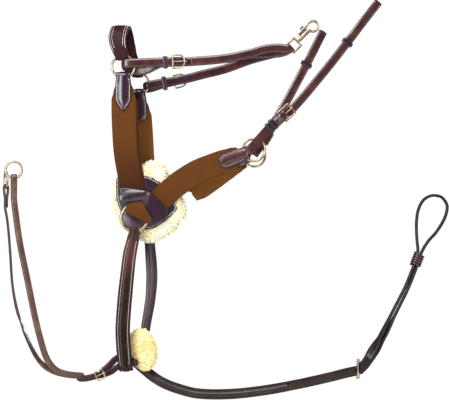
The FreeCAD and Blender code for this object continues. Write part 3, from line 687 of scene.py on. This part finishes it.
PAD = [
    (-7, -296), (-10, -322), (-8, -344), (0, -366), (14, -384), (34, -396), (58, -400),
    (80, -390), (100, -374), (112, -360), (106, -346), (96, -330), (84, -312), (66, -300),
    (44, -292), (20, -290),
]
COVER = [
    (0, -318), (46, -322), (60, -327), (92, -361), (88, -381), (60, -395), (36, -394),
    (16, -382), (3, -364), (-4, -342),
]
FLEECE = [
    (-14, -300), (-20, -330), (-16, -362), (0, -392), (24, -414), (56, -428), (84, -420),
    (110, -402), (130, -374), (126, -346), (112, -320), (96, -292), (84, -268), (64, -262),
    (40, -272), (10, -284),
]
SLEEVE = [
    (22, -612), (35, -602), (49, -604), (61, -619), (69, -640), (68, -662), (58, -679),
    (44, -681), (30, -670), (20, -652), (18, -628),
]
TONGUE = [
    (8, -361), (16, -349), (42, -345), (52, -362), (63, -381), (55, -390), (36, -380), (12, -366),
]
RING_PATCH = [(27 + 23.5 * math.cos(k * math.pi / 6), -378 + 23 * math.sin(k * math.pi / 6))
              for k in range(12)]
RINGS = (1.0, 0.992, 0.975, 0.945, 0.9, 0.82, 0.7, 0.55, 0.38, 0.2)


def outline(points, sharp=0.5):
    """A closed smooth outline through points."""
    pieces = 6
    n = len(points)
    found = []
    for i in range(n):
        a, b, c, d = (Vector(points[(i + k) % n]) for k in (-1, 0, 1, 2))
        for k in range(pieces):
            t = k / pieces
            m0, m1 = (c - a) * sharp, (d - b) * sharp
            found.append(b * (2 * t**3 - 3 * t**2 + 1) + m0 * (t**3 - 2 * t**2 + t)
                         + c * (-2 * t**3 + 3 * t**2) + m1 * (t**3 - t**2))
    return found


def inside(point, shape):
    """Whether a point lies inside a closed shape."""
    hit = False
    for (x0, z0), (x1, z1) in zip(shape, shape[1:] + shape[:1]):
        if (z0 > point[1]) != (z1 > point[1]):
            if point[0] < (x1 - x0) * (point[1] - z0) / (z1 - z0) + x0:
                hit = not hit
    return hit


def disc(rim, near, far):
    """Verts, edge marks and faces of a panel: its rim drawn in by rings to its middle on both sides."""
    middle = sum(rim, Vector((0, 0))) / len(rim)
    n = len(rim)
    verts, edges, faces = [], [], []
    for height in (near, far):
        start = len(verts)
        for f in RINGS:
            for p in rim:
                q = middle + (p - middle) * f
                d = (p - middle).length * (1 - f)
                verts.append((q.x, height(q, d, f), q.y))
                edges.append(max(0.0, 1 - d / 1.4))
        tip = len(verts)
        verts.append((middle.x, height(middle, 99, 0), middle.y))
        edges.append(0.0)
        shell = swept(len(RINGS), n, start=start)
        shell += [(tip - n + k, tip - n + (k + 1) % n, tip) for k in range(n)]
        faces += shell if height is near else [face[::-1] for face in shell]
    faces += [(k, start + k, start + (k + 1) % n, (k + 1) % n) for k in range(n)]
    return verts, edges, faces


def panel(name, shape, near, thick, crown, material, stitch=None, bend=None, node=None, slot="leather",
          sharp=0.5):
    """A leather or woven panel with rolled edges and a crowned face, stitched near its rim."""
    rim = outline(shape, sharp)
    bend = bend or (lambda p: 0.0)

    def front(p, d, f):
        roll = thick * 0.5 * max(0.0, 1 - d / 1.3) ** 2
        groove = 0.45 * math.exp(-((d - (stitch or 3)) / 0.7) ** 2) if stitch else 0.0
        ripple = 0.7 * noise.noise(Vector((p.x, p.y, 0)) * 0.045)
        return near + roll + groove - crown * (1 - f * f) * (1 + ripple) + bend(p)

    def rear(p, d, f):
        return near + thick - thick * 0.5 * max(0.0, 1 - d / 1.3) ** 2 - crown * (1 - f * f) * 0.8 + bend(p)

    verts, edges, faces = disc(rim, front, rear)
    metres = [(x * MM, y * MM, z * MM) for x, y, z in verts]
    uvs = [(x * MM, z * MM) for x, _, z in verts]
    marks = {"edge": edges, "painted_light_and_shade": [0.0] * len(verts)}
    add(mesh_object(name, metres, faces, material, uvs, marks), "harness", slot, *([node] if node else []))
    if stitch:
        middle = sum(rim, Vector((0, 0))) / len(rim)
        places, last = [], None
        for p in rim + rim[:1]:
            q = p - (p - middle).normalized() * stitch
            f = (q - middle).length / max((p - middle).length, 1e-6)
            here = Vector((q.x, front(q, stitch, f) - 0.35, q.y)) * MM
            if last is not None:
                gap = (here - last).length
                steps = max(1, round(gap / PITCH))
                direction = (here - last).normalized()
                for k in range(steps):
                    places.append((last.lerp(here, (k + 0.5) / steps), direction, -Y))
            last = here
        add(capsules(name + "_stitches", places, 0.0031, 0.0011, THREAD), "harness", "leather")


def lock(verts, faces, painted_depth_shadows, base, heading, curl, long, thick, limits):
    """One tapering, curling lock of wool."""
    side = heading.cross(Vector((0.31, 0.77, 0.55))).normalized()
    other = heading.cross(side)
    start = len(verts)
    p = base.copy()
    steps = 4
    for i in range(steps + 1):
        t = i / steps
        r = thick * (1 - t * 0.72) * (1 - 0.25 * math.sin(t * 6 + curl))
        for k in range(4):
            a = k * math.pi / 2 + t * 1.5
            q = p + side * (r * math.cos(a)) + other * (r * math.sin(a))
            q.y = min(max(q.y, limits[0]), limits[1])
            verts.append(q * MM)
            # Painted shadow deep in the pile: strongest at the base of the lock and gone by its middle.
            painted_depth_shadows.append(max(0.0, 0.6 - 1.2 * t))
        turn = curl + t * 4.2
        bend = side * math.cos(turn) + other * math.sin(turn)
        p = p + (heading * (1 - 0.35 * t) + bend * 0.75) * (long / steps)
    faces.extend(swept(steps + 1, 4, start=start))
    faces.append(tuple(start + steps * 4 + k for k in range(4)))


def sheepskin(name, node, shape, near, far, covered, count, long, material):
    """A woolly pad: a plump skin with a coat of curling locks. covered(x, z, front) marks skin
    that lies against leather and so has only a short pile."""
    rim = outline(shape)
    half, centre_y = (far - near) / 2, (far + near) / 2

    def plump(sign):
        def height(p, d, f):
            swell = math.sqrt(max(0.0, 1 - max(0.0, 1 - d / (half * 1.1)) ** 2))
            lump = 1.1 * noise.noise(Vector((p.x, p.y, sign * 40)) * 0.11)
            return centre_y + sign * (half - 2.0) * swell + lump * (1 if swell < 0.9 else 0.4)
        return height

    verts, edges, faces = disc(rim, plump(-1), plump(1))
    middle = sum(rim, Vector((0, 0))) / len(rim)
    skin = []
    for x, y, z in verts:
        skin.append(Vector((middle.x + (x - middle.x) * 0.94, y, middle.y + (z - middle.y) * 0.94)))
    # The bare skin carries a light painted shadow.
    base = mesh_object(name, [v * MM for v in skin], faces, material, None, {"painted_depth_shadow": [0.3] * len(skin)})
    add(base, "harness", "sheepskin", node)
    dice = random.Random(len(name) * 31)
    wverts, wfaces, painted_depth_shadows = [], [], []
    areas, choices = [], []
    for face in faces:
        a, b, c = (skin[face[k]] for k in (0, 1, 2))
        normal = (b - a).cross(c - a)
        size = normal.length * (2 if len(face) == 4 else 1)
        if size > 1e-6:
            areas.append(size)
            choices.append((face, normal.normalized()))
    for face, normal in dice.choices(choices, areas, k=count):
        weights = [dice.random() for _ in face]
        total = sum(weights)
        p = sum((skin[i] * (w / total) for i, w in zip(face, weights)), Vector((0, 0, 0)))
        if covered(p.x, p.z, p.y < centre_y):
            continue
        out = Vector((p.x - middle.x, 0, p.z - middle.y))
        rimward = min(1.0, out.length / 60)
        if normal.dot(Vector((out.x, (p.y - centre_y) * 3, out.z))) < 0:
            normal = -normal
        stray = Vector((dice.uniform(-0.5, 0.5), dice.uniform(-0.3, 0.3), dice.uniform(-0.5, 0.5)))
        heading = (normal + out.normalized() * 0.5 * rimward + stray).normalized()
        lock(wverts, wfaces, painted_depth_shadows, p, heading, dice.uniform(0, 6.28), long * dice.uniform(0.45, 0.95),
             dice.uniform(1.3, 2.3), (near - 3.6, far + 1.5))
    add(mesh_object(name + "_coat", wverts, wfaces, material, None, {"painted_depth_shadow": painted_depth_shadows}), "harness", "sheepskin")


panel("chest_pad_leather", PAD, -16, 2.8, 1.0, GLOSSY, stitch=3.6, node="chest_pad")


def cover_ridge(p):
    """The cover is drawn up over the end of the near elastic."""
    start, end = Vector((2, -340)), Vector((44, -331))
    t = max(0.0, min(1.0, (p - start).dot(end - start) / (end - start).length_squared))
    return -6.5 * math.exp(-((p - start.lerp(end, t)).length / 13) ** 2)


panel("pad_cover_leather", COVER, -24, 2.8, 1.6, GLOSSY, bend=cover_ridge, node="pad_cover", sharp=0.3)
panel("ring_tongue_web", TONGUE, -37.5, 2.4, 0.8, ELASTIC, bend=lambda p: max(0.0, (p.y + 360) / 16) * 3.0,
      node="ring_tongue", slot="webbing", sharp=0.3)
panel("ring_patch", RING_PATCH, -30.5, 3.2, 2.4, GLOSSY)
sheepskin("chest_fleece_skin", "chest_fleece", FLEECE, -12.5, 13.5,
          lambda x, z, front: inside((x, z), PAD) if front else False, 6000, 9, WOOL)
sheepskin("belly_fleece_skin", "belly_fleece", SLEEVE, -10, 7, lambda x, z, front: False,
          3200, 8.5, YELLOW_WOOL)


# --- Front strap, back strap and the belly loop ---------------------------------------------

def front_strap():
    """The strap below the chest ring: folded round the ring, with an open eye at its foot."""
    down = [(25, -418, 0.85), (18, -450, 0.93), (14, -482, 0.95), (9, -530, 1.0), (6, -564, 1.0)]
    low = [(4, -600, 1.0), (5.5, -636, 1.0), (7.5, -658, 0.98), (9, -676, 0.96)]
    wire = Vector((27, -29, -378 - 26.5))
    turn = half_turn(wire, -Z, 4.8, 3.0, 0.7, X, near_first=False)
    turn = [(wire.x, *s[1:]) for s in turn]
    eye = []
    for k in range(1, 6):
        a = math.pi * k / 6
        eye.append((9.5 + 0.3 * k, -29 - 5.2 * math.cos(a), -676 - 5.2 * math.sin(a), 0.96, X))
    front, rear = ([(x, y, z, share, X) for x, z, share in down]
                   + [(x, y + splay * k, z, share, X) for k, (x, z, share) in enumerate(low)]
                   for y, splay in ((-32.4, -0.45), (-26, 0.45)))
    samples = route(rear[::-1] + turn + front + eye, X, 2.4, closed=True)
    # A painted highlight: a warm glow centred a little below the top of the front run.
    add(band("front_strap_leather", samples, *FRONT, DARK_LEATHER, crest=0.0022, groove=0.0005, inset=0.0048,
             closed=True, painted_light_and_shade=lambda t: 0.42 * math.exp(-((t - 0.58) / 0.07) ** 2), dome=0.4),
        "harness", "leather", "front_strap")
    sew("front_strap", route(front, X, 2.4), FRONT, 0.0048, (0.006, 0.004), "harness", "leather",
        (0.0036, 0.0011, TAN_THREAD), 0.0038, lift=0.0001)
    filler = route([(x, -29.2, z, share * 0.92, X) for x, z, share in down + low[:2]], X, 5.0)
    add(band("front_strap_filler", filler, *FRONT, DARK_LEATHER), "harness", "leather")


def holes(name, samples, distances, body, face=1):
    """Punched holes: small dished discs set in the strap's face, near-black with painted shadow."""
    verts, faces = [], []
    for want in distances:
        for p, share, side, tangent in along(samples, want, want, 1.0):
            up = tangent.cross(side) * face
            centre = p + up * (DOUBLE / 2)
            base = len(verts)
            for wide, h in ((1, 0.00025), (0.72, -0.0001), (0.3, -0.0006)):
                r = HOLE_RADIUS * wide
                for k in range(12):
                    a = k * math.pi / 6
                    verts.append(centre + side * (r * math.cos(a)) + tangent * (r * math.sin(a)) + up * h)
            faces += swept(3, 12, start=base)
            faces.append(tuple(base + 24 + k for k in range(12)))
    add(mesh_object(name, verts, faces, HOLE_SHADOW), body, "leather")


BACK = [
    (56, 16, -396, 1.0), (57, 16, -430, 1.0), (60, 15, -470, 1.08), (61, 14, -500, 1.08),
    (58, 13, -542, 0.98), (50, 12, -590, 0.92), (45, 11, -625, 0.92), (44, 10, -650, 0.92),
    (44, 10, -672, 0.9),
]
BELLY = [
    (15, 13.5, -648, 0.95), (23, 13.5, -661, 0.97), (34, 13.3, -672, 1.0), (48, 13.3, -684, 1.0),
    (64, 12.4, -697, 1.0), (84, 9, -709, 1.0), (112, 7, -720, 1.0), (153, 4, -730, 1.0),
    (218, 2, -731, 1.0), (290, 0, -723, 0.98), (360, 0, -710, 0.95), (418, 0, -697, 0.95),
    (450, 0, -689, 0.95), (472.5, 0, -684, 0.95),
]
# Where the loop's layers rise side by side: centre (x, z), twist from flat to edge-on, and gap.
RISE = [
    (474, -685.5, 0, 8.8), (490, -669, 0, 8.8), (503, -649, 30, 8.4), (523, -616, 75, 7.8),
    (550, -562, 90, 7.4), (571.5, -519, 90, 6.8), (587, -481, 90, 6.4), (593.5, -462, 90, 6.2),
]
TEARDROP = [
    (594.6, -446), (592.4, -415), (592, -385), (596, -360), (606, -342), (619, -334), (630, -333),
    (643, -337), (653, -352), (652, -367), (645, -385), (631, -407), (615, -425), (603.4, -444),
]


def crested_strap(name, stations, raised, crest_width, crest_height, material, **kinds):
    """A flat strap with a narrower layer raised on its near face, stitched along both edges."""
    samples = route(stations, None, 3.0)
    add(band(name + "_leather", samples, *BELLY_WIDTH, material, inset=0.0028, **kinds),
        "harness", "leather_plain", name)
    add(band(name + "_crest", route(raised, None, 3.0), crest_width, 0.0034, material, crest=crest_height,
             dome=0.5), "harness", "leather_plain")
    sew(name, samples, BELLY_WIDTH, 0.0028, (0.004, 0.006), "harness", "leather_plain",
        (0.0032, 0.0008, BROWN_THREAD), 0.0044)
    return samples


def lifted(stations):
    """The stations of the layer that lies on a strap's near face."""
    return [(x, y - 2.2, z, share) for x, y, z, share in stations]


def belly_loop():
    """The belly strap's loop: two layers up to the coil, then one open teardrop."""
    layers = [[], []]
    for n, (x, z, twist, gap) in enumerate(RISE):
        before, after = RISE[max(n - 1, 0)], RISE[min(n + 1, len(RISE) - 1)]
        heading = Vector((after[0] - before[0], 0, after[1] - before[1])).normalized()
        left = Vector((-heading.z, 0, heading.x))
        a = math.radians(twist)
        across = left * math.cos(a) + Y * math.sin(a)
        normal = left * math.sin(a) - Y * math.cos(a)
        for layer, sign in zip(layers, (1, -1)):
            p = Vector((x, 0, z)) + normal * (sign * gap / 2)
            layer.append((p.x, p.y, p.z, 0.95, across))
    drop = [(x, 0, z, 0.95, Y) for x, z in TEARDROP]
    samples = route(layers[0] + drop + layers[1][::-1], None, 3.0)
    add(band("belly_loop_leather", samples, BELLY_WIDTH[0], 0.0054, LOOP_LEATHER, crest=0.0003, inset=0.0026,
             both=True, corner=0.0026, edged=False), "harness", "leather_plain", "belly_loop")


def coil_keeper():
    """A cord of radius r, wound in turns of per samples round both layers of the belly loop."""
    run, cross = bearing(69.5)
    centre = Vector((593.5, 0, -462))
    verts, uvs = [], []
    turns, per, r = 5, 26, 2.6
    count = turns * per
    spine = []
    for i in range(count + 1):
        t = 2 * math.pi * i / per
        c, s = math.cos(t), math.sin(t)
        wide = 9.2 * math.copysign(abs(c) ** 0.75, c)
        deep = 12.2 * math.copysign(abs(s) ** 0.75, s)
        spine.append(centre + run * (-12.2 + 24.4 * i / count) + cross * wide + Y * deep)
    for i, p in enumerate(spine):
        tangent = (spine[min(i + 1, count)] - spine[max(i - 1, 0)]).normalized()
        side = tangent.cross(run).normalized()
        other = tangent.cross(side)
        for k in range(10):
            b = k * math.pi / 5
            verts.append((p + side * (r * math.cos(b)) + other * (r * math.sin(b))) * MM)
            uvs.append((k * 0.001, i * 0.002))
    marks = {"edge": [0.0] * len(verts), "painted_light_and_shade": [0.0] * len(verts)}
    add(mesh_object("coil_keeper_cord", verts, capped(count + 1, 10), GLOSSY, uvs, marks),
        "harness", "leather_plain", "coil_keeper")


front_strap()
crested_strap("back_strap", BACK, lifted(BACK), 0.0115, 0.0020, PLUM_LEATHER, crest=0.0005)
belly = crested_strap("belly_strap", BELLY, lifted(BELLY[:10]) + [(335, -2.2, -715, 0.97)], 0.0125, 0.0022,
                      PLAIN_LEATHER, crest=0.0007, groove=0.0003, ends=("round", "flat"))
holes("belly_strap_holes", belly, [belly[-1][4] - 0.0065 - 0.026 * k for k in range(2, 7)], "harness")
belly_loop()
coil_keeper()


# --- Straps that hang from the rings --------------------------------------------------------

def keeper(name, node, body, centre, angle, half_wide, half_deep, long=9.0):
    """A flat leather loop round the layers of a strap, with rounded corners."""
    run, cross = bearing(angle)
    wall = 1.5
    w, d, r = half_wide + wall / 2 + 0.1, half_deep + wall / 2 + 0.1, 1.6
    stations = []
    corners = ((w - r, d - r, 0), (-w + r, d - r, 90), (-w + r, -d + r, 180), (w - r, -d + r, 270))
    for cx, cy, start in corners:
        for step in (0, 45, 90):
            t = math.radians(start + step)
            p = Vector(centre) + cross * (cx + r * math.cos(t)) - Y * (cy + r * math.sin(t))
            stations.append((p.x, p.y, p.z, 1.0, run))
    add(band(name, route(stations, run, 1.4, closed=True), long * MM, wall * MM, GLOSSY, crest=0.0003,
             groove=0.0002, inset=0.0012, closed=True), body, "leather", node)


# A snap's bar lies BAR_AWAY behind its eye's centre; the strap's fold round it is EYE_HOLD deep.
BAR_AWAY, EYE_HOLD = 10.3, 3.8
SLANT = Vector((math.cos(math.pi / 4), 0, math.sin(math.pi / 4)))
SLANT_ACROSS = Vector((-SLANT.z, 0, SLANT.x))
ACROSS = Vector((-math.sin(0.1), 0, math.cos(0.1)))


def saddle_strap(side, eye, front, ring_turn, back, gap, parting):
    """A doubled strap: from its buckle to the ring, round it, out to the snap's eye and back.
    parting lists how far the end layers stand apart in height at the last stations."""
    bar = Vector(eye) - SLANT * BAR_AWAY
    turn = fold(bar, SLANT, -Y, EYE_HOLD, EYE_HOLD, 0.9, SLANT_ACROSS)
    if (turn[0][1] - turn[-1][1]) * gap < 0:
        turn.reverse()
    last = back[-len(parting):]
    returning = [(x, y - gap, z + up / 2, 1.0) for (x, y, z, _), up in zip(reversed(last), reversed(parting))]
    lower = [(x, y, z - up / 2, w) for (x, y, z, w), up in zip(last, parting)]
    stations = front + ring_turn + back[:-len(parting)] + lower + turn + returning
    flat = [s if len(s) > 4 else (*s, ACROSS) for s in stations]
    samples = route(flat, None, 2.4)
    body, name = f"saddle_{side}", f"saddle_strap_{side}"
    add(band(name + "_leather", samples, *STRAP, LIT_AND_SHADOWED_SIDE_LEATHER[side], crest=0.0011, inset=0.0016,
             ends=("round", "flat"), both=True), body, "leather", name)
    sew(name, samples, STRAP, 0.0026, (0.006, 0.005), body, "leather", FINE, **SUNK)


saddle_strap(
    "near", (345, -31, -33),
    [(134, -34, -66, 1.0), (110, -34, -66, 1.0), (78, -34, -67, 1.0), (52, -36.5, -68, 1.0),
     (30, -38.5, -69, 1.0)],
    [(14, -38, -70, 1.0), (6, -35.5, -71, 0.9), (3.5, -30, -73, 0.85), (6, -24.5, -75, 0.9),
     (14, -22, -78, 1.0)],
    [(30, -21.5, -83, 1.0), (48, -24, -83, 1.0), (66, -27, -75, 1.0), (80, -28, -69, 1.0),
     (96, -28, -67.5, 1.0),
     (140, -28, -66, 1.0), (208, -28, -60, 1.0), (258, -28, -51, 1.0), (288, -28, -46, 1.0),
     (314, -28, -44, 1.0), (328, -28, -43, 1.0)],
    6, (0, 0, 2, 9, 10, 5),
)
saddle_strap(
    "far", (347, 29, -31),
    [(134, 32, -97, 1.0), (110, 32, -102, 1.0), (84, 33, -108, 1.0), (62, 36, -115, 1.0)],
    [(52, 36.5, -118, 0.88), (46.5, 34.5, -116.5, 0.72), (44.8, 29.5, -114.5, 0.68),
     (46.5, 25, -112.5, 0.72), (52, 22.5, -111, 0.88)],
    [(60, 23, -110, 1.0), (84, 25, -106, 1.0), (110, 26, -102, 1.0),
     (138, 26, -96, 1.0), (160, 26, -90, 1.0), (208, 26, -78, 1.0), (258, 26, -60, 1.0),
     (314, 26, -45, 1.0)],
    -6, (0, 0, 0, 0, 0),
)
keeper("saddle_keeper_near_leather", "saddle_keeper_near", "saddle_near", (89, -31, -67.5), 3, 10.6, 5.3)
keeper("saddle_keeper_far_leather", "saddle_keeper_far", "saddle_far", (86, 29, -107), 10, 12.0, 6.2)


def chape(side, centre, angle, ends, y):
    """A short strap folded round a ring, both layers running to the buckle."""
    spread = 5.6
    away, across = bearing(angle)
    turn = half_turn(Vector(centre), away, spread, 0.0, 0.95, across)
    out = [(x, y - spread, z, 1.0, across) for x, z in reversed(ends)]
    home = [(x, y + spread, z, 1.0, across) for x, z in ends]
    samples = route(out + turn + home, None, 2.2)
    body, name = f"girth_{side}", f"girth_chape_{side}"
    add(band(name + "_leather", samples, *CHAPE, LIT_AND_SHADOWED_SIDE_LEATHER[side], crest=0.0009, groove=0.0003,
             inset=0.0024, ends=("round", "round")), body, "leather", name)
    sew(name, samples, STRAP, 0.0026, (0.006, 0.006), body, "leather", (0.0031, 0.0009, BROWN_THREAD),
        faces=(near_face(samples),))


def buckle_wrap():
    """The near chape's folded end round its buckle's bar."""
    away, across = bearing(44)
    bar = Vector((321.6, -42.6, -177))
    outer = [(*(bar - away * reach + Y * lie), 1.0, across) for reach, lie in ((17, 0.5), (10.2, -0.7))]
    turn = half_turn(bar, -away, 3.6, 8.0, 1.0, across)
    add(band("girth_buckle_wrap_near", route(outer + turn, None, 1.8), CHAPE[0], 0.0026, RUSSET,
             crest=0.0008, inset=0.0022), "girth_near", "leather")


def long_strap(side, path, y):
    """A doubled strap whose far end is an open loop, with both ends in the buckle."""
    gaps = [2, 2, 2, 2, 2, 2.4, 5, 5.5]
    step = Vector((path[-1][0] - path[-2][0], 0, path[-1][1] - path[-2][1])).normalized()
    across = Vector((-step.z, 0, step.x))
    out = [(x, y - half, z, 0.95, across) for (x, z), half in zip(path, gaps)]
    home = [(x, y + half, z, 0.95, across) for (x, z), half in zip(path[::-1], gaps[::-1])]
    tip = Vector((path[-1][0], y, path[-1][1])) + step * 4
    turn = fold(tip, step, Y, gaps[-1], gaps[-1], 0.95, across, 6)
    samples = route(out + turn + home, None, 2.4)
    body, name = f"girth_{side}", f"girth_strap_{side}"
    add(band(name + "_leather", samples, *STRAP, RUSSET, crest=0.0009, inset=0.0016, ends=("round", "round"),
             both=True), body, "leather", name)
    sew(name, samples, STRAP, 0.0024, (0.006, 0.005), body, "leather", FINE, **SUNK)
    holes(name + "_holes", samples, [0.045 + 0.025 * k for k in range(4)], body, near_face(samples))


chape("near", (256.5, -31, -244.5), 48, [(268, -231), (284, -213), (302, -193), (320, -176)], -31)
buckle_wrap()
long_strap("near", [
    (303, -192), (322, -175), (344, -159), (411, -80), (451, -29), (462, -15), (480, 9), (508, 45),
], -31)
for n, step in enumerate((-4.6, 4.6)):
    keeper(f"girth_keeper_near_loop_{n}", "girth_keeper_near", "girth_near",
           (300 + 0.68 * step, -31, -195 + 0.73 * step), 47, 10.2, 7.6, 5.0)
keeper("girth_runner_near_leather", "girth_runner_near", "runner_near", (452, -31, -28), 52, 9.9, 4.6)
chape("far", (269.5, 29, -246), 56, [(275, -238), (285, -223), (296, -205), (307, -187)], 29)
long_strap("far", [
    (297, -203), (306, -187), (332, -144), (354, -103), (376, -62), (383, -48), (392, -30), (401, -12),
], 29)
keeper("girth_keeper_far_leather", "girth_keeper_far", "girth_far", (306, 29, -188.5), 60, 10.2, 7.6)
keeper("girth_runner_far_leather", "girth_runner_far", "runner_far", (372, 29, -69), 62, 9.9, 4.6)


# --- Martingale ------------------------------------------------------------------------------

NEAR_REIN, FAR_REIN = Vector((-213, -30, -282)), Vector((-233, 28, -301))
EDGE_AXIS = Vector((math.cos(math.radians(15)), math.sin(math.radians(15)), 0))
EDGE_ACROSS = Vector((-EDGE_AXIS.y, EDGE_AXIS.x, 0))


def rein_strap(side, centre, across, home, path):
    """A rein strap, folded up through its rein ring and stitched back on itself on the side of home."""
    wire = centre - Z * 16.4
    hold = 4.2
    legs = [[], []]
    for drop, out in ((40, 1.75), (22, 1.9), (9, hold - 0.5)):
        for leg, sign in zip(legs, (1, -1)):
            p = wire - Z * drop + home * (sign * out)
            leg.append((p.x, p.y, p.z, 1.0, across))
    turn = fold(wire, Z, -home, hold + 1.7, hold, 1.0, across)
    samples = route(legs[0] + turn + legs[1][::-1] + path, None, 2.4)
    name = f"rein_strap_{side}"
    add(band(name + "_leather", samples, *REIN, REIN_LEATHER, crest=0.0007, inset=0.0014,
             ends=("round", "round"), both=True), "harness", "leather_plain", name)
    sew(name, samples, REIN, 0.0022, (0.004, 0.005), "harness", "leather_plain", FINE, **SUNK)


rein_strap("near", NEAR_REIN, X, -Y, [
    (-210.5, -29, -362, 1.0), (-201, -30, -428, 1.0), (-185, -30.5, -506, 1.0),
    (-169, -30.5, -584, 1.0), (-153, -30, -644, 1.0), (-143, -29.5, -666, 1.0), (-128, -29, -682, 1.0),
    (-103, -29, -690, 1.0), (-72, -29, -693, 1.0),
])
rein_strap("far", FAR_REIN, EDGE_ACROSS, EDGE_AXIS, [
    (-231, 26, -378, 1.0, EDGE_ACROSS), (-228, 24.5, -402, 1.0, EDGE_ACROSS),
    (-224, 21, -449, 1.0, EDGE_ACROSS), (-219, 15, -513, 1.0, EDGE_ACROSS),
    (-209, 8, -564, 1.0, (-0.4, 0.9, 0)), (-190, -3, -615, 1.0, (0.3, 0.9, 0.3)),
    (-166, -13, -660, 1.0, (0.3, 0.8, 0.5)), (-143, -20, -680, 1.0, (0, 0.5, 0.8)),
    (-110, -24.5, -690, 1.0, Z), (-72, -25, -693, 1.0, Z),
])


def connector():
    """The narrow strap that joins the fork to the front strap's eye."""
    samples = route([
        (-88, -33, -700, 0.8), (-66, -33, -697, 1.0), (-46, -33, -692, 1.0), (-32, -32, -689, 1.0),
        (-19, -29.6, -684, 1.0), (-8, -29, -676, 0.95), (3, -29, -671.5, 0.95), (13, -29, -670, 0.95),
        (25, -28.5, -668, 0.9), (31, -26, -667, 0.9, Z),
        (33, -23, -667, 0.9, Z), (31, -20, -666, 0.9, Z), (25, -18, -664, 0.9), (12, -18, -659, 0.95),
        (-2, -18.5, -656, 1.0), (-12, -19.5, -661, 1.0), (-22, -21, -671, 1.0), (-32, -21.5, -680, 1.0),
        (-42, -21.5, -687, 1.0),
    ], None, 2.0)
    add(band("connector_leather", samples, *REIN, LEATHER, crest=0.0005, inset=0.002,
             ends=("point", "round"), both=True), "harness", "leather_plain", "connector")
    sew("connector", samples, REIN, 0.002, (0.005, 0.005), "harness", "leather_plain", faces=(1, -1))


connector()

# --- Brass that the CAD model shapes ---------------------------------------------------------

for node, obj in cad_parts.items():
    metal = any(part in node for part in ("ring_near", "ring_far", "_frame", "_prong"))
    if metal or node == "chest_ring" or node.startswith("snap_"):
        for slot in obj.material_slots:
            slot.material = BRASS

# --- Studio ----------------------------------------------------------------------------------

FLOOR = plain("studio_floor", (0.86, 0.85, 0.83), 0.8)
floor_z = cad_box[0][2] - 0.06
corners = [(x, y, floor_z) for x, y in ((-3, -3), (3, -3), (3, 0.6), (-3, 0.6))]
floor = mesh_object("studio_floor", corners, [(0, 1, 2, 3)], FLOOR, smooth=False)

world = bpy.data.worlds.new("studio")
world.use_nodes = True
sky = world.node_tree.nodes["Background"]
sky.inputs["Color"].default_value = (1, 1, 1, 1)
rays = world.node_tree.nodes.new("ShaderNodeLightPath")
level = world.node_tree.nodes.new("ShaderNodeMapRange")
level.inputs["To Min"].default_value = 0.15
level.inputs["To Max"].default_value = 1.05
world.node_tree.links.new(rays.outputs["Is Camera Ray"], level.inputs["Value"])
world.node_tree.links.new(level.outputs[0], sky.inputs["Strength"])
bpy.context.scene.world = world
bpy.context.scene.view_settings.view_transform = "Standard"


def soft_light(name, place, target, size, power, colour=(1, 1, 1)):
    data = bpy.data.lights.new(name, "AREA")
    data.shape = "RECTANGLE"
    data.size, data.size_y = size
    data.energy = power
    data.color = colour
    lamp = bpy.data.objects.new(name, data)
    lamp.location = place
    lamp.rotation_euler = (Vector(target) - Vector(place)).to_track_quat("-Z", "Y").to_euler()
    bpy.context.scene.collection.objects.link(lamp)


soft_light("left", (-1.15, -2.2, -0.1), (0.15, 0, -0.35), (0.8, 2.6), 78, (0.94, 0.97, 1.0))
soft_light("top", (-0.3, -1.4, 1.7), (0.15, 0, -0.35), (2.4, 0.9), 72, (0.97, 0.98, 1.0))
soft_light("right", (1.9, -1.6, -0.3), (0.2, 0, -0.35), (0.4, 2.2), 24, (1.0, 0.97, 0.93))
soft_light("behind", (1.8, 2.3, 0.5), (0.2, 0, -0.35), (0.8, 2.2), 40)

camera_data = bpy.data.cameras.new("camera")
camera_data.lens = 240
camera_data.sensor_width = 36
camera_data.clip_end = 50
camera = bpy.data.objects.new("camera", camera_data)
camera.location = (0.207, -6.0, -0.342)
camera.rotation_euler = (math.pi / 2, 0, 0)
bpy.context.scene.collection.objects.link(camera)
bpy.context.scene.camera = camera
